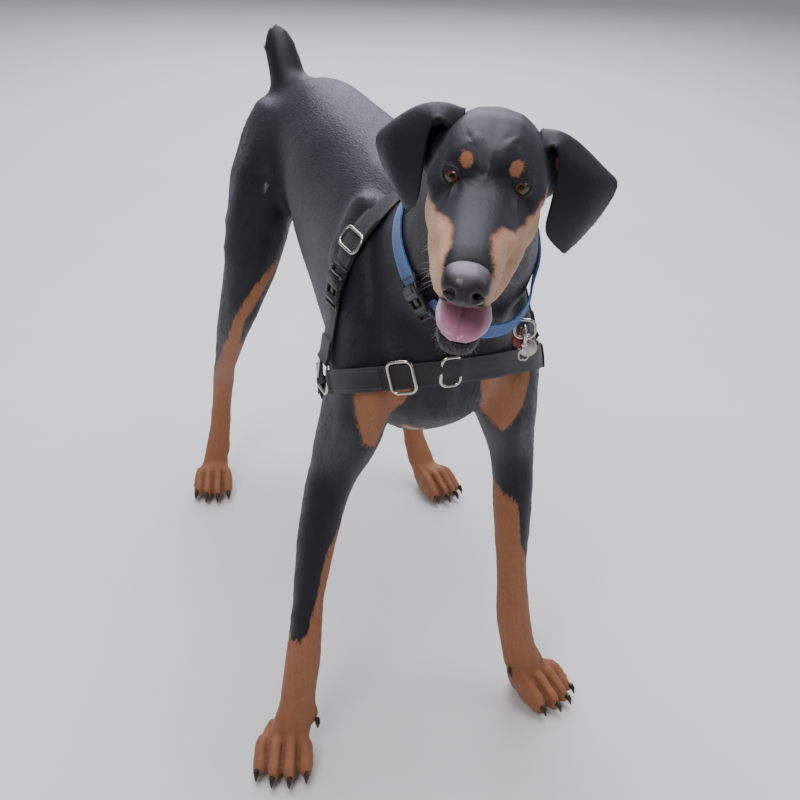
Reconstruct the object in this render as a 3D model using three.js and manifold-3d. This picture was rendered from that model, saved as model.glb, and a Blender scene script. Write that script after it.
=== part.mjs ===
// A life-size standing doberman pinscher with natural ears and a docked tail, in a collar and a harness.
// Millimetres, +Z up. The animal faces -Y and its own left side is +X.
import * as THREE from "three";
import { mergeVertices } from "three/addons/utils/BufferGeometryUtils.js";
import Module from "manifold-3d";

const wasm = await Module();
wasm.setup();

// Driving dimensions.
const GAP = 0.3; // between nodes that meet
const MIDDLE = [8, -68]; // of the whole outline seen from above, from the midline below the shoulders
const HEAD_AT = [-12, -354, 764]; // the nape, where the skull meets the neck
const HEAD_TURN = [-26.1, -0.7, 6.0]; // degrees: turned to its right, nose lifted, tipped sideways
const EYE_RADIUS = 11.5;
const EYE_AT = [23.5, -97, 10]; // on the head, beside its midline
const LID = 2.4; // radius of an eyelid's roll
const LID_STEPS = 5;
const EAR_THICKNESS = 3.4;
const TAIL_LENGTH = 122;
const CLAW_LENGTH = 22;
const WEBBING = 25; // width of the collar and of every strap
const THICKNESS = 2.2; // of the webbing
const LIFT = 0.8; // of the webbing above the coat
const WIRE = 1.7; // radius of the metal rings' wire

const rad = THREE.MathUtils.degToRad;
const V = (x, y, z) => new THREE.Vector3(x, y, z);
const ACROSS = V(1, 0, 0);
const SIDES = { right: -1, left: 1 };

const LOOKS = {
  coat: [0x222226, 0.6, 0],
  rust: [0x8a5b3d, 0.65, 0],
  nose: [0x2b2729, 0.4, 0],
  tongue: [0xd58ca4, 0.35, 0],
  eye: [0x5f3416, 0.08, 0],
  claw: [0x1d1a1a, 0.4, 0],
  collar: [0x2f6fb5, 0.8, 0],
  webbing: [0x1b1b1e, 0.85, 0],
  plastic: [0x121214, 0.4, 0],
  steel: [0xb5b0a2, 0.3, 1],
  tag: [0x9c1b24, 0.4, 0.2],
};

// A geometry as a solid. One that comes out inside out is turned round.
function solid(geometry) {
  const bare = geometry.clone();
  bare.deleteAttribute("normal");
  bare.deleteAttribute("uv");
  const merged = mergeVertices(bare, 1e-4);
  const triVerts = new Uint32Array(merged.index.array);
  const make = () =>
    new wasm.Manifold(
      new wasm.Mesh({ numProp: 3, vertProperties: merged.attributes.position.array, triVerts }),
    );
  const made = make();
  if (made.volume() > 0) return made;
  for (let i = 0; i < triVerts.length; i += 3)
    [triVerts[i + 1], triVerts[i + 2]] = [triVerts[i + 2], triVerts[i + 1]];
  return make();
}

const fuse = (geometries) => geometries.map(solid).reduce((a, b) => a.add(b));
const cut = (from, ...tools) => tools.reduce((a, b) => a.subtract(b), from);

// A closed form along a line: a sphere's grid of points laid round a curve.
// A station is x, y, z, half width, reach before or above the line, and reach behind or below it.
function loft(stations, { sides = 12, steps = 2, square = 2, grow = 0, across = ACROSS } = {}) {
  const line = new THREE.CatmullRomCurve3(stations.map((s) => V(s[0], s[1], s[2])));
  const size = new THREE.CatmullRomCurve3(stations.map((s) => V(s[3], s[4], s[5])));
  const rings = steps * (stations.length - 1) + 1;
  const form = new THREE.SphereGeometry(1, sides, rings + 1);
  const at = form.attributes.position;
  const round = (x) => Math.sign(x) * Math.abs(x) ** (2 / square);
  for (let row = 0; row <= rings + 1; row++) {
    const t = THREE.MathUtils.clamp((row - 1) / (rings - 1), 0, 1);
    const centre = line.getPoint(t);
    const along = line.getTangent(t);
    const half = size.getPoint(t);
    const side = across.clone().addScaledVector(along, -across.dot(along)).normalize();
    const front = along.clone().cross(side);
    for (let column = 0; column <= sides; column++) {
      const angle = (2 * Math.PI * column) / sides;
      const [c, s] = [round(Math.cos(angle)), round(Math.sin(angle))];
      const p = centre.clone();
      if (row === 0) p.addScaledVector(along, -grow);
      else if (row > rings) p.addScaledVector(along, grow);
      else {
        p.addScaledVector(side, Math.max(half.x + grow, 0.4) * c);
        p.addScaledVector(front, Math.max((s > 0 ? half.y : half.z) + grow, 0.4) * s);
      }
      at.setXYZ(row * (sides + 1) + column, p.x, p.y, p.z);
    }
  }
  return form;
}

// A ball stretched to three radii and turned.
function ball(at, radii, { grow = 0, sides = 12, rings = 7, turn = [0, 0, 0] } = {}) {
  return new THREE.SphereGeometry(1, sides, rings)
    .scale(radii[0] + grow, radii[1] + grow, radii[2] + grow)
    .applyMatrix4(new THREE.Matrix4().makeRotationFromEuler(new THREE.Euler(...turn.map(rad))))
    .translate(...at);
}

// Stations seen in the midline's mirror when side is -1.
const mirror = (stations, side) => stations.map(([x, ...rest]) => [side * x, ...rest]);

// A matrix whose columns are three directions, set at a point.
const frame = (x, y, z, at) => new THREE.Matrix4().makeBasis(x, y, z).setPosition(at);

// Everything on the far side of a plane, in the direction of its normal.
function beyond(at, normal, shift = 0) {
  const turn = new THREE.Quaternion().setFromUnitVectors(V(0, 0, 1), normal.clone().normalize());
  const box = new THREE.BoxGeometry(3000, 3000, 3000).translate(0, 0, 1500 + shift);
  return solid(box.applyQuaternion(turn).translate(at.x, at.y, at.z));
}

// Parts a solid along a plane: the piece beyond it and the piece before it, a gap apart.
const part = (whole, at, normal) => [
  whole.intersect(beyond(at, normal, GAP / 2)),
  whole.subtract(beyond(at, normal, -GAP / 2)),
];

const skullFrame = new THREE.Matrix4().compose(
  V(...HEAD_AT),
  new THREE.Quaternion().setFromEuler(
    new THREE.Euler(rad(HEAD_TURN[1]), rad(HEAD_TURN[2]), rad(HEAD_TURN[0]), "ZXY"),
  ),
  V(1, 1, 1),
);
const onHead = (geometry) => geometry.applyMatrix4(skullFrame);

// Trunk, from the buttocks to the forechest.
const TRUNK = [
  [6, 430, 582, 18, 22, 34],
  [7, 419, 583, 40, 44, 62],
  [8, 390, 580, 50, 56, 88],
  [11, 335, 577, 61, 75, 96],
  [13, 270, 580, 70, 89, 100],
  [14, 200, 578, 74, 91, 108],
  [14, 120, 564, 83, 108, 126],
  [13, 40, 548, 85, 122, 146],
  [9, -40, 535, 88, 136, 154],
  [5, -110, 530, 86, 146, 152],
  [2, -165, 528, 85, 152, 144],
  [0, -220, 525, 79, 114, 117],
  [0, -258, 515, 62, 72, 86],
  [0, -281, 508, 33, 36, 46],
];

const NECK = [
  [2, -120, 560, 70, 92, 80],
  [3, -185, 590, 69, 86, 92],
  [6, -235, 628, 69, 73, 86],
  [2, -280, 673, 63, 63, 72],
  [-7, -318, 720, 53, 56, 61],
  [-14, -356, 752, 48, 48, 52],
];

const TAIL_ROOT = V(-4, 345, 600);
const TAIL_LEAN = V(-0.12, 0.5, 0.85).normalize();
// Share of the length and radius.
const TAIL = [
  [-0.1, 27],
  [0.15, 27],
  [0.35, 26],
  [0.55, 24],
  [0.75, 22],
  [0.9, 19],
  [0.97, 13],
  [1, 5],
].map(([share, radius]) => [
  ...TAIL_ROOT.clone().addScaledVector(TAIL_LEAN, share * TAIL_LENGTH),
  radius,
  radius,
  radius,
]);

// Legs, from the shoulder or the hip down to the toes. Each stands in its own way.
const LEGS = {
  foreleg_right: [
    [-38, -130, 646, 24, 36, 50],
    [-58, -150, 600, 34, 52, 62],
    [-66, -178, 545, 34, 60, 74],
    [-73, -194, 485, 31.5, 60, 78],
    [-78, -184, 432, 30.5, 52, 66],
    [-83, -166, 390, 30, 43, 50],
    [-91, -156, 356, 27.5, 35, 40],
    [-104, -160, 322, 25.5, 33, 33],
    [-118, -173, 275, 23.5, 28, 26],
    [-133, -192, 212, 19, 21.5, 20],
    [-141, -206, 168, 19.5, 20, 20],
    [-145, -211, 136, 22, 20, 22],
    [-150, -214, 108, 21, 18, 20],
    [-154, -217, 80, 21.5, 18, 18],
    [-161, -219, 52, 26, 17, 17],
    [-165, -222, 30, 24, 14, 16],
  ],
  foreleg_left: [
    [38, -130, 646, 24, 36, 50],
    [58, -150, 600, 34, 52, 62],
    [70, -178, 545, 36, 60, 74],
    [78, -196, 485, 40, 60, 78],
    [88, -190, 432, 37, 52, 66],
    [101, -178, 390, 30, 43, 50],
    [111, -173, 356, 25.5, 35, 40],
    [113.5, -178, 322, 23.5, 32, 33],
    [113, -185, 275, 23.5, 28, 26],
    [113, -195, 212, 19, 21.5, 20],
    [115, -201, 168, 20, 20, 20],
    [118, -203, 136, 22.5, 20, 22],
    [123, -201, 108, 21, 18, 20],
    [130, -200, 80, 22, 18, 18],
    [140, -198, 52, 26, 17, 17],
    [147, -198, 30, 24, 14, 16],
  ],
  hindleg_right: [
    [-32, 322, 622, 27, 78, 66],
    [-45, 320, 578, 38, 94, 84],
    [-61, 308, 525, 46, 98, 92],
    [-76, 284, 470, 43, 84, 86],
    [-92, 262, 420, 35, 57, 68],
    [-107, 258, 376, 27, 42, 54],
    [-115, 282, 325, 21.5, 31, 42],
    [-117, 322, 275, 18, 30, 32],
    [-115, 362, 226, 15.5, 23, 28],
    [-112, 392, 190, 16.5, 23, 27],
    [-112, 404, 160, 17.5, 21, 23],
    [-117, 404, 115, 17, 17, 18],
    [-122, 400, 75, 18.5, 17, 17],
    [-128, 393, 45, 23, 16, 17],
    [-131, 384, 26, 22, 13, 16],
  ],
  hindleg_left: [
    [46, 322, 622, 32, 78, 66],
    [60, 316, 578, 41, 94, 84],
    [74, 300, 525, 46, 98, 92],
    [90, 272, 470, 43, 84, 86],
    [104, 243, 420, 35, 59, 68],
    [114, 233, 376, 27, 44, 54],
    [124, 248, 325, 21.5, 32, 42],
    [136, 278, 275, 18, 30, 32],
    [146, 308, 226, 15.5, 23, 28],
    [153, 332, 190, 16.5, 23, 27],
    [157, 336, 160, 17.5, 21, 23],
    [166, 326, 115, 17, 17, 18],
    [172, 312, 75, 18.5, 17, 17],
    [179, 298, 45, 22, 16, 17],
    [183, 288, 26, 21, 13, 16],
  ],
};

// The space a leg takes with its shoulder or hip, wider than the leg so that its seam rounds the muscle.
const legSpace = (stations, grow = 0) =>
  solid(
    loft(
      [...stations.slice(1, -1), [...stations.at(-1).slice(0, 2), -40, 60, 110, 70]].map(
        ([x, y, z, w, f, b]) => [1.04 * x, y, z, w + 12, f + 18 + (z < 60 ? 60 : 0), b + 14],
      ),
      { sides: 12, steps: 1, grow },
    ),
  );

// Paws: the middle of each on the floor, the way its toes point from -Y, half its width, and how far to
// the side its dewclaw sits.
const PAWS = {
  forepaw_right: { at: [-168, -214], turn: -20, half: 32, dewclaw: 37 },
  forepaw_left: { at: [150, -192], turn: 28, half: 32, dewclaw: -42 },
  hindpaw_right: { at: [-134, 386], turn: -16, half: 27 },
  hindpaw_left: { at: [186, 284], turn: 22, half: 26 },
};
// Each toe's place across the paw and how far it reaches ahead of the outer ones.
const TOES = [
  [-0.76, 0],
  [-0.26, 9],
  [0.26, 9],
  [0.76, 0],
];

const onPaw = ({ at, turn }) =>
  new THREE.Matrix4().makeRotationZ(rad(turn)).setPosition(at[0], at[1], 0);

// Toes that arch from the knuckles to the tips, and the pad behind them.
function toes(paw, grow = 0) {
  const { half, dewclaw } = paw;
  const wide = half * 0.3;
  const forms = TOES.map(([place, ahead]) => {
    const x = place * half;
    const spread = place * 6;
    const sink = 8 * Math.abs(place);
    return loft(
      [
        [x * 0.8, 8 + sink, 42 - sink, wide, 12, 20],
        [x, -16 - ahead * 0.6, 35 - 0.6 * sink, wide * 1.08, 12, 26],
        [x + spread * 0.6, -36 - ahead, 19, wide * 1.02, 12, 18],
        [x + spread, -48 - ahead, 9, wide * 0.6, 7, 9],
      ],
      { sides: 6, steps: 1, grow },
    );
  });
  forms.push(ball([0, 2, 22], [half * 0.8, 24, 26], { grow, sides: 8, rings: 5 }));
  if (dewclaw)
    forms.push(
      loft(
        [
          [dewclaw * 0.7, 8, 78, 6, 6, 6],
          [dewclaw * 0.92, 2, 66, 7, 7, 7],
          [dewclaw, -4, 56, 4.5, 4.5, 4.5],
        ],
        { sides: 8, steps: 1, grow },
      ),
    );
  return forms.map((form) => form.applyMatrix4(onPaw(paw)));
}

// Curved claws, one for each toe and one for the dewclaw.
function claws(paw, grow = 0) {
  const { half, dewclaw } = paw;
  const forms = TOES.map(([place, ahead]) => {
    const x = place * half + place * 6;
    const tip = -42 - ahead - CLAW_LENGTH;
    return loft(
      [
        [x, tip + CLAW_LENGTH, 15, 3.4, 4, 4],
        [x, tip + CLAW_LENGTH * 0.5, 15, 3.4, 4, 4],
        [x, tip + CLAW_LENGTH * 0.2, 10.5, 2.6, 3, 3],
        [x, tip, 4, 0.8, 1, 1],
      ],
      { sides: 5, steps: 1, grow },
    );
  });
  if (dewclaw)
    forms.push(
      loft(
        [
          [dewclaw, -2, 60, 3, 3, 3],
          [dewclaw * 1.05, -8, 51, 3, 3, 3],
          [dewclaw * 1.06, -12, 42, 0.8, 0.8, 0.8],
        ],
        { sides: 6, steps: 1, grow },
      ),
    );
  return forms.map((form) => form.applyMatrix4(onPaw(paw)));
}

// Skull and upper jaw, from the nape to the nose, on the head's own axes.
const SKULL = [
  [0, 14, -8, 32, 32, 38],
  [0, -8, -6, 42, 46, 46],
  [0, -35, -4, 46, 55, 48],
  [0, -60, -6, 47.5, 58, 44],
  [0, -80, -8, 46, 55.5, 38],
  [0, -95, -10, 40.5, 50, 35],
  [0, -106, -13, 35.5, 42, 32],
  [0, -116, -16, 32, 35.5, 29.5],
  [0, -130, -19, 30, 31.5, 27],
  [0, -155, -21, 28, 29.5, 24],
  [0, -182, -23, 25.5, 27.5, 22],
  [0, -206, -25, 23, 24, 19],
  [0, -221, -27, 19, 17, 16],
  [0, -229, -28, 12, 10, 12],
];

// Lower jaw, let down in a pant.
const JAW = [
  [0, -20, -36, 36, 20, 26],
  [0, -55, -44, 36, 20, 24],
  [0, -90, -54, 29, 14, 19],
  [0, -120, -62, 24, 12, 17],
  [0, -150, -69, 20.5, 10.5, 14.5],
  [0, -176, -76, 18.5, 9.5, 12.5],
  [0, -194, -80, 16.8, 9, 11.5],
  [0, -203, -82, 13.5, 7, 10],
  [0, -208, -83, 7, 4, 5],
];

const LIP = [
  [3, -228, -38, 4, 3, 3],
  [13, -221, -38.5, 5, 5, 5],
  [19.5, -202, -39.5, 5, 6, 6],
  [24, -174, -42, 5.5, 7, 7.5],
  [28, -146, -44.5, 5.5, 8, 8],
  [32, -122, -46, 5.5, 8, 8],
  [35, -102, -44, 5, 7, 8],
];

const CHEEKBONE = [
  [31, -124, -12, 4, 6, 7],
  [36, -108, -10, 6, 7, 8],
  [41, -88, -6, 7, 8, 9],
  [43, -62, -2, 6, 9, 9],
];

const NOSE = [
  [0, -201, -18, 9, 7, 8],
  [0, -209, -20, 14.5, 10.5, 14],
  [0, -219, -23, 17.5, 13, 16.5],
  [0, -229, -25.5, 16.5, 12, 14.5],
  [0, -235, -27, 12, 8, 10],
  [0, -238, -27, 6, 4, 5],
];

const TONGUE = [
  [0, -112, -50, 14, 3, 4],
  [0, -135, -56, 17, 4, 5],
  [0, -162, -62, 19, 4, 6],
  [0, -184, -66, 20.5, 4, 6],
  [0, -198, -69.5, 18, 4, 5],
  [0, -205, -73.5, 12.5, 3.5, 4],
  [0, -207.5, -77.5, 6, 2, 2.5],
];

// The open mouth, from before the chin back to its corners.
const MOUTH = [
  [0, -250, -57, 19, 20, 16],
  [0, -215, -57, 19, 20.5, 16],
  [0, -192, -58.5, 18, 19.5, 18],
  [0, -165, -57, 19, 15, 15],
  [0, -138, -53, 21, 11, 11],
  [0, -114, -50, 22, 4, 5],
];

// A roll of lid round the eye, from its inner corner to its outer one.
function lid(side, upper, grow = 0) {
  const gaze = new THREE.Euler(0, 0, rad(side * 16));
  const stations = [];
  for (let i = 0; i <= LID_STEPS; i++) {
    const share = i / LID_STEPS;
    const swing = rad(116 * share - 58);
    const lift = rad((upper ? 27 : -27) * Math.cos(swing * 1.5) + 15 * share - 7.5);
    const level = Math.cos(lift);
    const p = V(side * Math.sin(swing) * level, -Math.cos(swing) * level, Math.sin(lift))
      .multiplyScalar(EYE_RADIUS + 1.2)
      .applyEuler(gaze)
      .add(V(side * EYE_AT[0], EYE_AT[1], EYE_AT[2]));
    stations.push([p.x, p.y, p.z, LID, LID, LID]);
  }
  return loft(stations, { sides: 5, steps: 1, grow, across: V(0, 0, 1) });
}

const headForms = (grow = 0) => [
  loft(SKULL, { sides: 16, steps: 1, square: 2.3, grow }),
  ...Object.values(SIDES).flatMap((side) => [
    ball([side * 31, -64, -28], [17, 36, 30], { grow, sides: 8, rings: 6 }),
    ball([side * 18, -100, 22], [11, 9, 11], { grow, sides: 8, rings: 5 }),
    ball([side * 40, -38, 12], [13, 24, 18], { grow, sides: 8, rings: 5 }),
    loft(mirror(CHEEKBONE, side), { sides: 5, steps: 1, grow }),
    loft(mirror(LIP, side), { sides: 5, steps: 1, grow }),
  ]),
];
const jawForms = (grow = 0) => [loft(JAW, { sides: 14, steps: 1, square: 2.4, grow })];
const lidForms = (grow = 0) =>
  Object.values(SIDES).flatMap((side) => [lid(side, true, grow), lid(side, false, grow)]);
const eyeball = (side, grow = 0) =>
  ball([side * EYE_AT[0], EYE_AT[1], EYE_AT[2]], [EYE_RADIUS, EYE_RADIUS, EYE_RADIUS], {
    grow,
    sides: 10,
    rings: 7,
  });
// The opening in the face before each eye.
const socket = (side) =>
  ball([side * 28, -114, 9], [14, 14, 9.5], { sides: 10, rings: 6, turn: [0, 0, side * 18] });
const nostrils = () =>
  Object.values(SIDES).flatMap((side) => [
    ball([side * 8, -236, -28], [4.2, 8, 4], { sides: 7, rings: 5, turn: [0, 0, side * 14] }),
    ball([side * 14, -233, -31], [6, 5, 1.6], { sides: 6, rings: 4, turn: [0, side * 24, side * 30] }),
  ]);

// Drop ears: each leaf's front and rear edge from its root over the fold to its tip, and its crown.
const EARS = {
  left: {
    front: [
      [38, -56, 22],
      [43, -56, 30],
      [47, -57, 29],
      [47.5, -60, 13],
      [49, -64, -12],
      [53, -60, -38],
      [70, -50, -57],
    ],
    rear: [
      [42, -8, -4],
      [66, -12, 8],
      [91, -20, 6],
      [103, -25, 0],
      [97, -32, -20],
      [84, -40, -42],
      [72, -48, -57],
    ],
    crown: [
      [-7, 0, 26],
      [-2, -1, 17],
      [1, 0, 9],
      [4, -6, 4],
      [5, -7, 1],
      [4, -5, 0],
      [0, 0, 0],
    ],
  },
  right: {
    front: [
      [-35, -62, 32],
      [-39, -62, 40],
      [-43, -62, 37],
      [-46, -62, 20],
      [-47, -64, -6],
      [-51, -60, -29],
      [-59, -50, -44],
    ],
    rear: [
      [-42, -8, -2],
      [-64, -12, 10],
      [-86, -19, 14],
      [-96, -25, 5],
      [-90, -32, -10],
      [-74, -42, -28],
      [-61, -49, -44],
    ],
    crown: [
      [8, 0, 30],
      [3, -1, 21],
      [-1, 0, 11],
      [-4, -6, 5],
      [-5, -7, 1],
      [-4, -5, 0],
      [0, 0, 0],
    ],
  },
};

// A leaf of ear folded over its crown. Rows run from root to tip, and columns out and back across it.
function ear({ front, rear, crown }) {
  const rows = 12;
  const columns = 6;
  const [ahead, behind, arch] = [front, rear, crown].map(
    (points) => new THREE.CatmullRomCurve3(points.map((p) => V(...p))),
  );
  const leaf = (u, v) =>
    ahead
      .getPoint(v)
      .lerp(behind.getPoint(v), u)
      .addScaledVector(arch.getPoint(v), Math.sin(Math.PI * u));
  const facing = (u, v) => {
    const across = leaf(Math.min(u + 0.01, 1), v).sub(leaf(Math.max(u - 0.01, 0), v));
    const down = leaf(u, Math.min(v + 0.01, 1)).sub(leaf(u, Math.max(v - 0.01, 0)));
    return across.cross(down).normalize();
  };
  const form = new THREE.SphereGeometry(1, 2 * columns, rows);
  const at = form.attributes.position;
  for (let row = 0; row <= rows; row++)
    for (let column = 0; column <= 2 * columns; column++) {
      const v = row / rows;
      const outer = column <= columns;
      const u = outer ? column / columns : 2 - column / columns;
      const rim = Math.min(1, 4 * Math.min(u, 1 - u) + 0.2);
      const half = 0.5 * EAR_THICKNESS * rim * (1.2 - 0.5 * v);
      const pole = row % rows === 0;
      const p = leaf(pole ? 0.5 : u, v);
      if (!pole && column % columns) p.addScaledVector(facing(u, v), outer ? half : -half);
      at.setXYZ(row * (2 * columns + 1) + column, p.x, p.y, p.z);
    }
  return form;
}

// The outline round a solid in a plane, as a distance from the plane's middle at each angle.
function girth(body, at, normal, across) {
  const up = normal.clone().cross(across);
  const place = frame(across, up, normal, at);
  const slice = body.intersect(solid(new THREE.BoxGeometry(3000, 3000, 0.6).applyMatrix4(place)));
  const { vertProperties, numProp } = slice.getMesh();
  const points = [];
  for (let i = 0; i < vertProperties.length; i += numProp) {
    const p = V(...vertProperties.subarray(i, i + 3)).sub(at);
    points.push([p.dot(across), p.dot(up)]);
  }
  points.sort((a, b) => a[0] - b[0] || a[1] - b[1]);
  const turn = (o, a, b) => (a[0] - o[0]) * (b[1] - o[1]) - (a[1] - o[1]) * (b[0] - o[0]);
  const half = (list) => {
    const chain = [];
    for (const p of list) {
      while (chain.length > 1 && turn(chain.at(-2), chain.at(-1), p) <= 0) chain.pop();
      chain.push(p);
    }
    return chain.slice(0, -1);
  };
  const hull = [...half(points), ...half(points.reverse())];
  return (angle) => {
    const [c, s] = [Math.cos(angle), Math.sin(angle)];
    let reach = 0;
    hull.forEach((a, i) => {
      const b = hull[(i + 1) % hull.length];
      const [ex, ey] = [b[0] - a[0], b[1] - a[1]];
      const across = c * ey - s * ex;
      if (Math.abs(across) < 1e-9) return;
      const r = (a[0] * ey - a[1] * ex) / across;
      const t = (a[0] * s - a[1] * c) / across;
      if (t >= -1e-6 && t <= 1 + 1e-6) reach = Math.max(reach, r);
    });
    return reach;
  };
}

// A strap that lies on the body round part of a plane, with places on it for its fittings.
// Angles are in degrees: 0 is the animal's left, and 90 lies along the plane's upward direction.
// Slack lets it hang off the body by so much at one angle, and less to both sides of it.
function strap(body, { at, normal, from, to, steps, slack = { at: 0, by: 0 } }) {
  const middle = V(...at);
  const facing = V(...normal).normalize();
  const across = ACROSS.clone().addScaledVector(facing, -facing.x).normalize();
  const up = facing.clone().cross(across);
  const [lower, mid, upper] = [-0.5, 0, 0.5].map((share) => {
    const edge = middle.clone().addScaledVector(facing, share * WEBBING);
    return { edge, reach: girth(body, edge, facing, across) };
  });
  const edges = [lower, upper];
  // How far both edges rise so that the webbing clears a bulge between them.
  const rise = (angle) =>
    Math.max(0, mid.reach(angle) - (lower.reach(angle) + upper.reach(angle)) / 2);
  const hang = (angle) => slack.by * Math.max(0, Math.cos(angle - rad(slack.at))) ** 4;
  const out = (angle) =>
    across.clone().multiplyScalar(Math.cos(angle)).addScaledVector(up, Math.sin(angle));
  const point = (side, angle, lift) =>
    edges[side].edge
      .clone()
      .addScaledVector(out(angle), edges[side].reach(angle) + rise(angle) + hang(angle) + lift);
  const form = (grow = 0) => {
    const box = new THREE.BoxGeometry(1, 1, 1, 1, 1, steps);
    const p = box.attributes.position;
    for (let i = 0; i < p.count; i++) {
      const angle = rad(THREE.MathUtils.lerp(from, to, p.getZ(i) + 0.5));
      const lift = p.getY(i) > 0 ? LIFT + THICKNESS + grow : LIFT - grow;
      const q = point(p.getX(i) > 0 ? 1 : 0, angle, lift);
      q.addScaledVector(facing, grow * Math.sign(p.getX(i)));
      p.setXYZ(i, q.x, q.y, q.z);
    }
    return box;
  };
  const seat = (degrees) => {
    const angle = rad(degrees);
    const [a, b] = [0, 1].map((side) => point(side, angle, LIFT + THICKNESS));
    const c = point(0, angle + 0.05, LIFT + THICKNESS).add(point(1, angle + 0.05, LIFT + THICKNESS));
    const here = a.clone().add(b).multiplyScalar(0.5);
    const along = c.multiplyScalar(0.5).sub(here).normalize();
    const wide = b.sub(a).normalize();
    const outward = along.clone().cross(wide).normalize();
    if (outward.dot(out(angle)) < 0) outward.negate();
    return frame(wide.clone().cross(outward).negate(), wide, outward, here);
  };
  return { form, seat };
}

// A closed loop of wire with rounded corners.
function loop(width, height, radius, wire = WIRE) {
  const [w, h] = [width / 2 - radius, height / 2 - radius];
  const points = [];
  for (const [x, y, start] of [[w, h, 0], [-w, h, 90], [-w, -h, 180], [w, -h, 270]])
    for (const step of [0, 45, 90]) {
      const angle = rad(start + step);
      points.push(V(x + radius * Math.cos(angle), y + radius * Math.sin(angle), 0));
    }
  const path = new THREE.CatmullRomCurve3(points, true, "centripetal");
  return new THREE.TubeGeometry(path, 16, wire, 5, true);
}

// A round tag.
const disc = (radius, thickness) =>
  new THREE.CylinderGeometry(radius, radius, thickness, 16).rotateX(Math.PI / 2);

// A side-release buckle: a waisted body with two windows for its prongs.
function buckle(length, width, thickness) {
  const [l, w] = [length / 2, width / 2];
  const flat = (points) => points.map(([x, y]) => new THREE.Vector2(x * l, y * w));
  const edge = [
    [-1, -0.86],
    [-0.5, -1],
    [-0.1, -1],
    [0.2, -0.8],
    [0.5, -0.86],
    [1, -0.86],
  ];
  const outline = new THREE.Shape(flat([...edge, ...edge.toReversed().map(([x, y]) => [x, -y])]));
  for (const side of [-1, 1])
    outline.holes.push(
      new THREE.Path(
        flat([
          [-0.2, side * 0.62],
          [0.25, side * 0.58],
          [0.25, side * 0.3],
          [-0.2, side * 0.3],
        ]),
      ),
    );
  return new THREE.ExtrudeGeometry(outline, {
    depth: thickness - 2,
    bevelThickness: 1,
    bevelSize: 1,
    bevelOffset: -1,
    bevelSegments: 1,
  });
}

const group = new THREE.Group();

// Puts a solid's largest closed surface in the model as a named mesh.
function add(name, made, look) {
  const whole = made.decompose().reduce((a, b) => (b.volume() > a.volume() ? b : a));
  const { vertProperties, triVerts, numProp, numVert } = whole.getMesh();
  const position = new Float32Array(numVert * 3);
  for (let i = 0; i < numVert; i++)
    position.set(vertProperties.subarray(i * numProp, i * numProp + 3), i * 3);
  const geometry = new THREE.BufferGeometry()
    .setAttribute("position", new THREE.BufferAttribute(position, 3))
    .setIndex(new THREE.BufferAttribute(triVerts, 1))
    .translate(-MIDDLE[0], -MIDDLE[1], 0);
  const [color, roughness, metalness] = LOOKS[look];
  const mesh = new THREE.Mesh(geometry, new THREE.MeshStandardMaterial({ color, roughness, metalness }));
  mesh.name = name;
  group.add(mesh);
}

// The whole body.
const floor = beyond(V(0, 0, 0), V(0, 0, -1));
const trunkForms = (grow = 0) => [
  loft(TRUNK, { sides: 20, steps: 1, square: 2.15, grow }),
  loft(NECK, { sides: 16, steps: 1, grow }),
];
const legForms = (kind, grow = 0) =>
  Object.entries(LEGS)
    .filter(([name]) => name.startsWith(kind))
    .map(([, stations]) => loft(stations, { sides: 12, steps: 1, grow }));
const girthed = fuse([...trunkForms(), ...legForms("foreleg")]);
const skull = fuse(headForms().map(onHead));
const jaw = fuse(jawForms().map(onHead));
const lids = fuse(lidForms().map(onHead));
const openings = Object.values(SIDES).map((side) => solid(onHead(socket(side))));
const eyeRoom = Object.values(SIDES).map((side) => solid(onHead(eyeball(side, GAP))));
const mouth = solid(onHead(loft(MOUTH, { sides: 10, steps: 1, square: 2.6 })));
const noseForm = (grow = 0) => onHead(loft(NOSE, { sides: 10, steps: 1, square: 2.3, grow }));
const behind = fuse([...legForms("hindleg"), loft(TAIL, { sides: 12, steps: 1 })]);
let body = girthed.add(behind).add(skull).add(jaw);
for (const paw of Object.values(PAWS))
  body = cut(body.add(fuse(toes(paw))), fuse(claws(paw, GAP)));
body = cut(body, floor, mouth, solid(noseForm(GAP)), ...openings).add(lids);
body = cut(body, ...eyeRoom);

// Head, jaw, neck, tail and torso.
const NAPE = [V(-12, -340, 738), V(-0.28, -0.86, 0.35)];
const [headAndJaw, belowHead] = part(body, ...NAPE);
const gape = V(0, -118, -55).applyMatrix4(skullFrame);
const gapeUp = V(0, 0.09, 1).transformDirection(skullFrame);
const [head, jawOnly] = part(headAndJaw, gape, gapeUp);
add("head", head, "coat");
add("jaw", jawOnly, "coat");
const [neck, belowNeck] = part(belowHead, V(0, -215, 610), V(0, -0.74, 0.67));
add("neck", neck, "coat");
const tailRoom = (grow) =>
  solid(loft(TAIL, { sides: 12, steps: 1, grow })).intersect(beyond(V(-4, 362, 642), TAIL_LEAN, -grow));
add("tail", belowNeck.intersect(tailRoom(0.5)), "coat");
const rest = cut(belowNeck, tailRoom(0.5 + GAP));
add("torso", cut(rest, ...Object.values(LEGS).map((s) => legSpace(s, GAP))), "coat");

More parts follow.
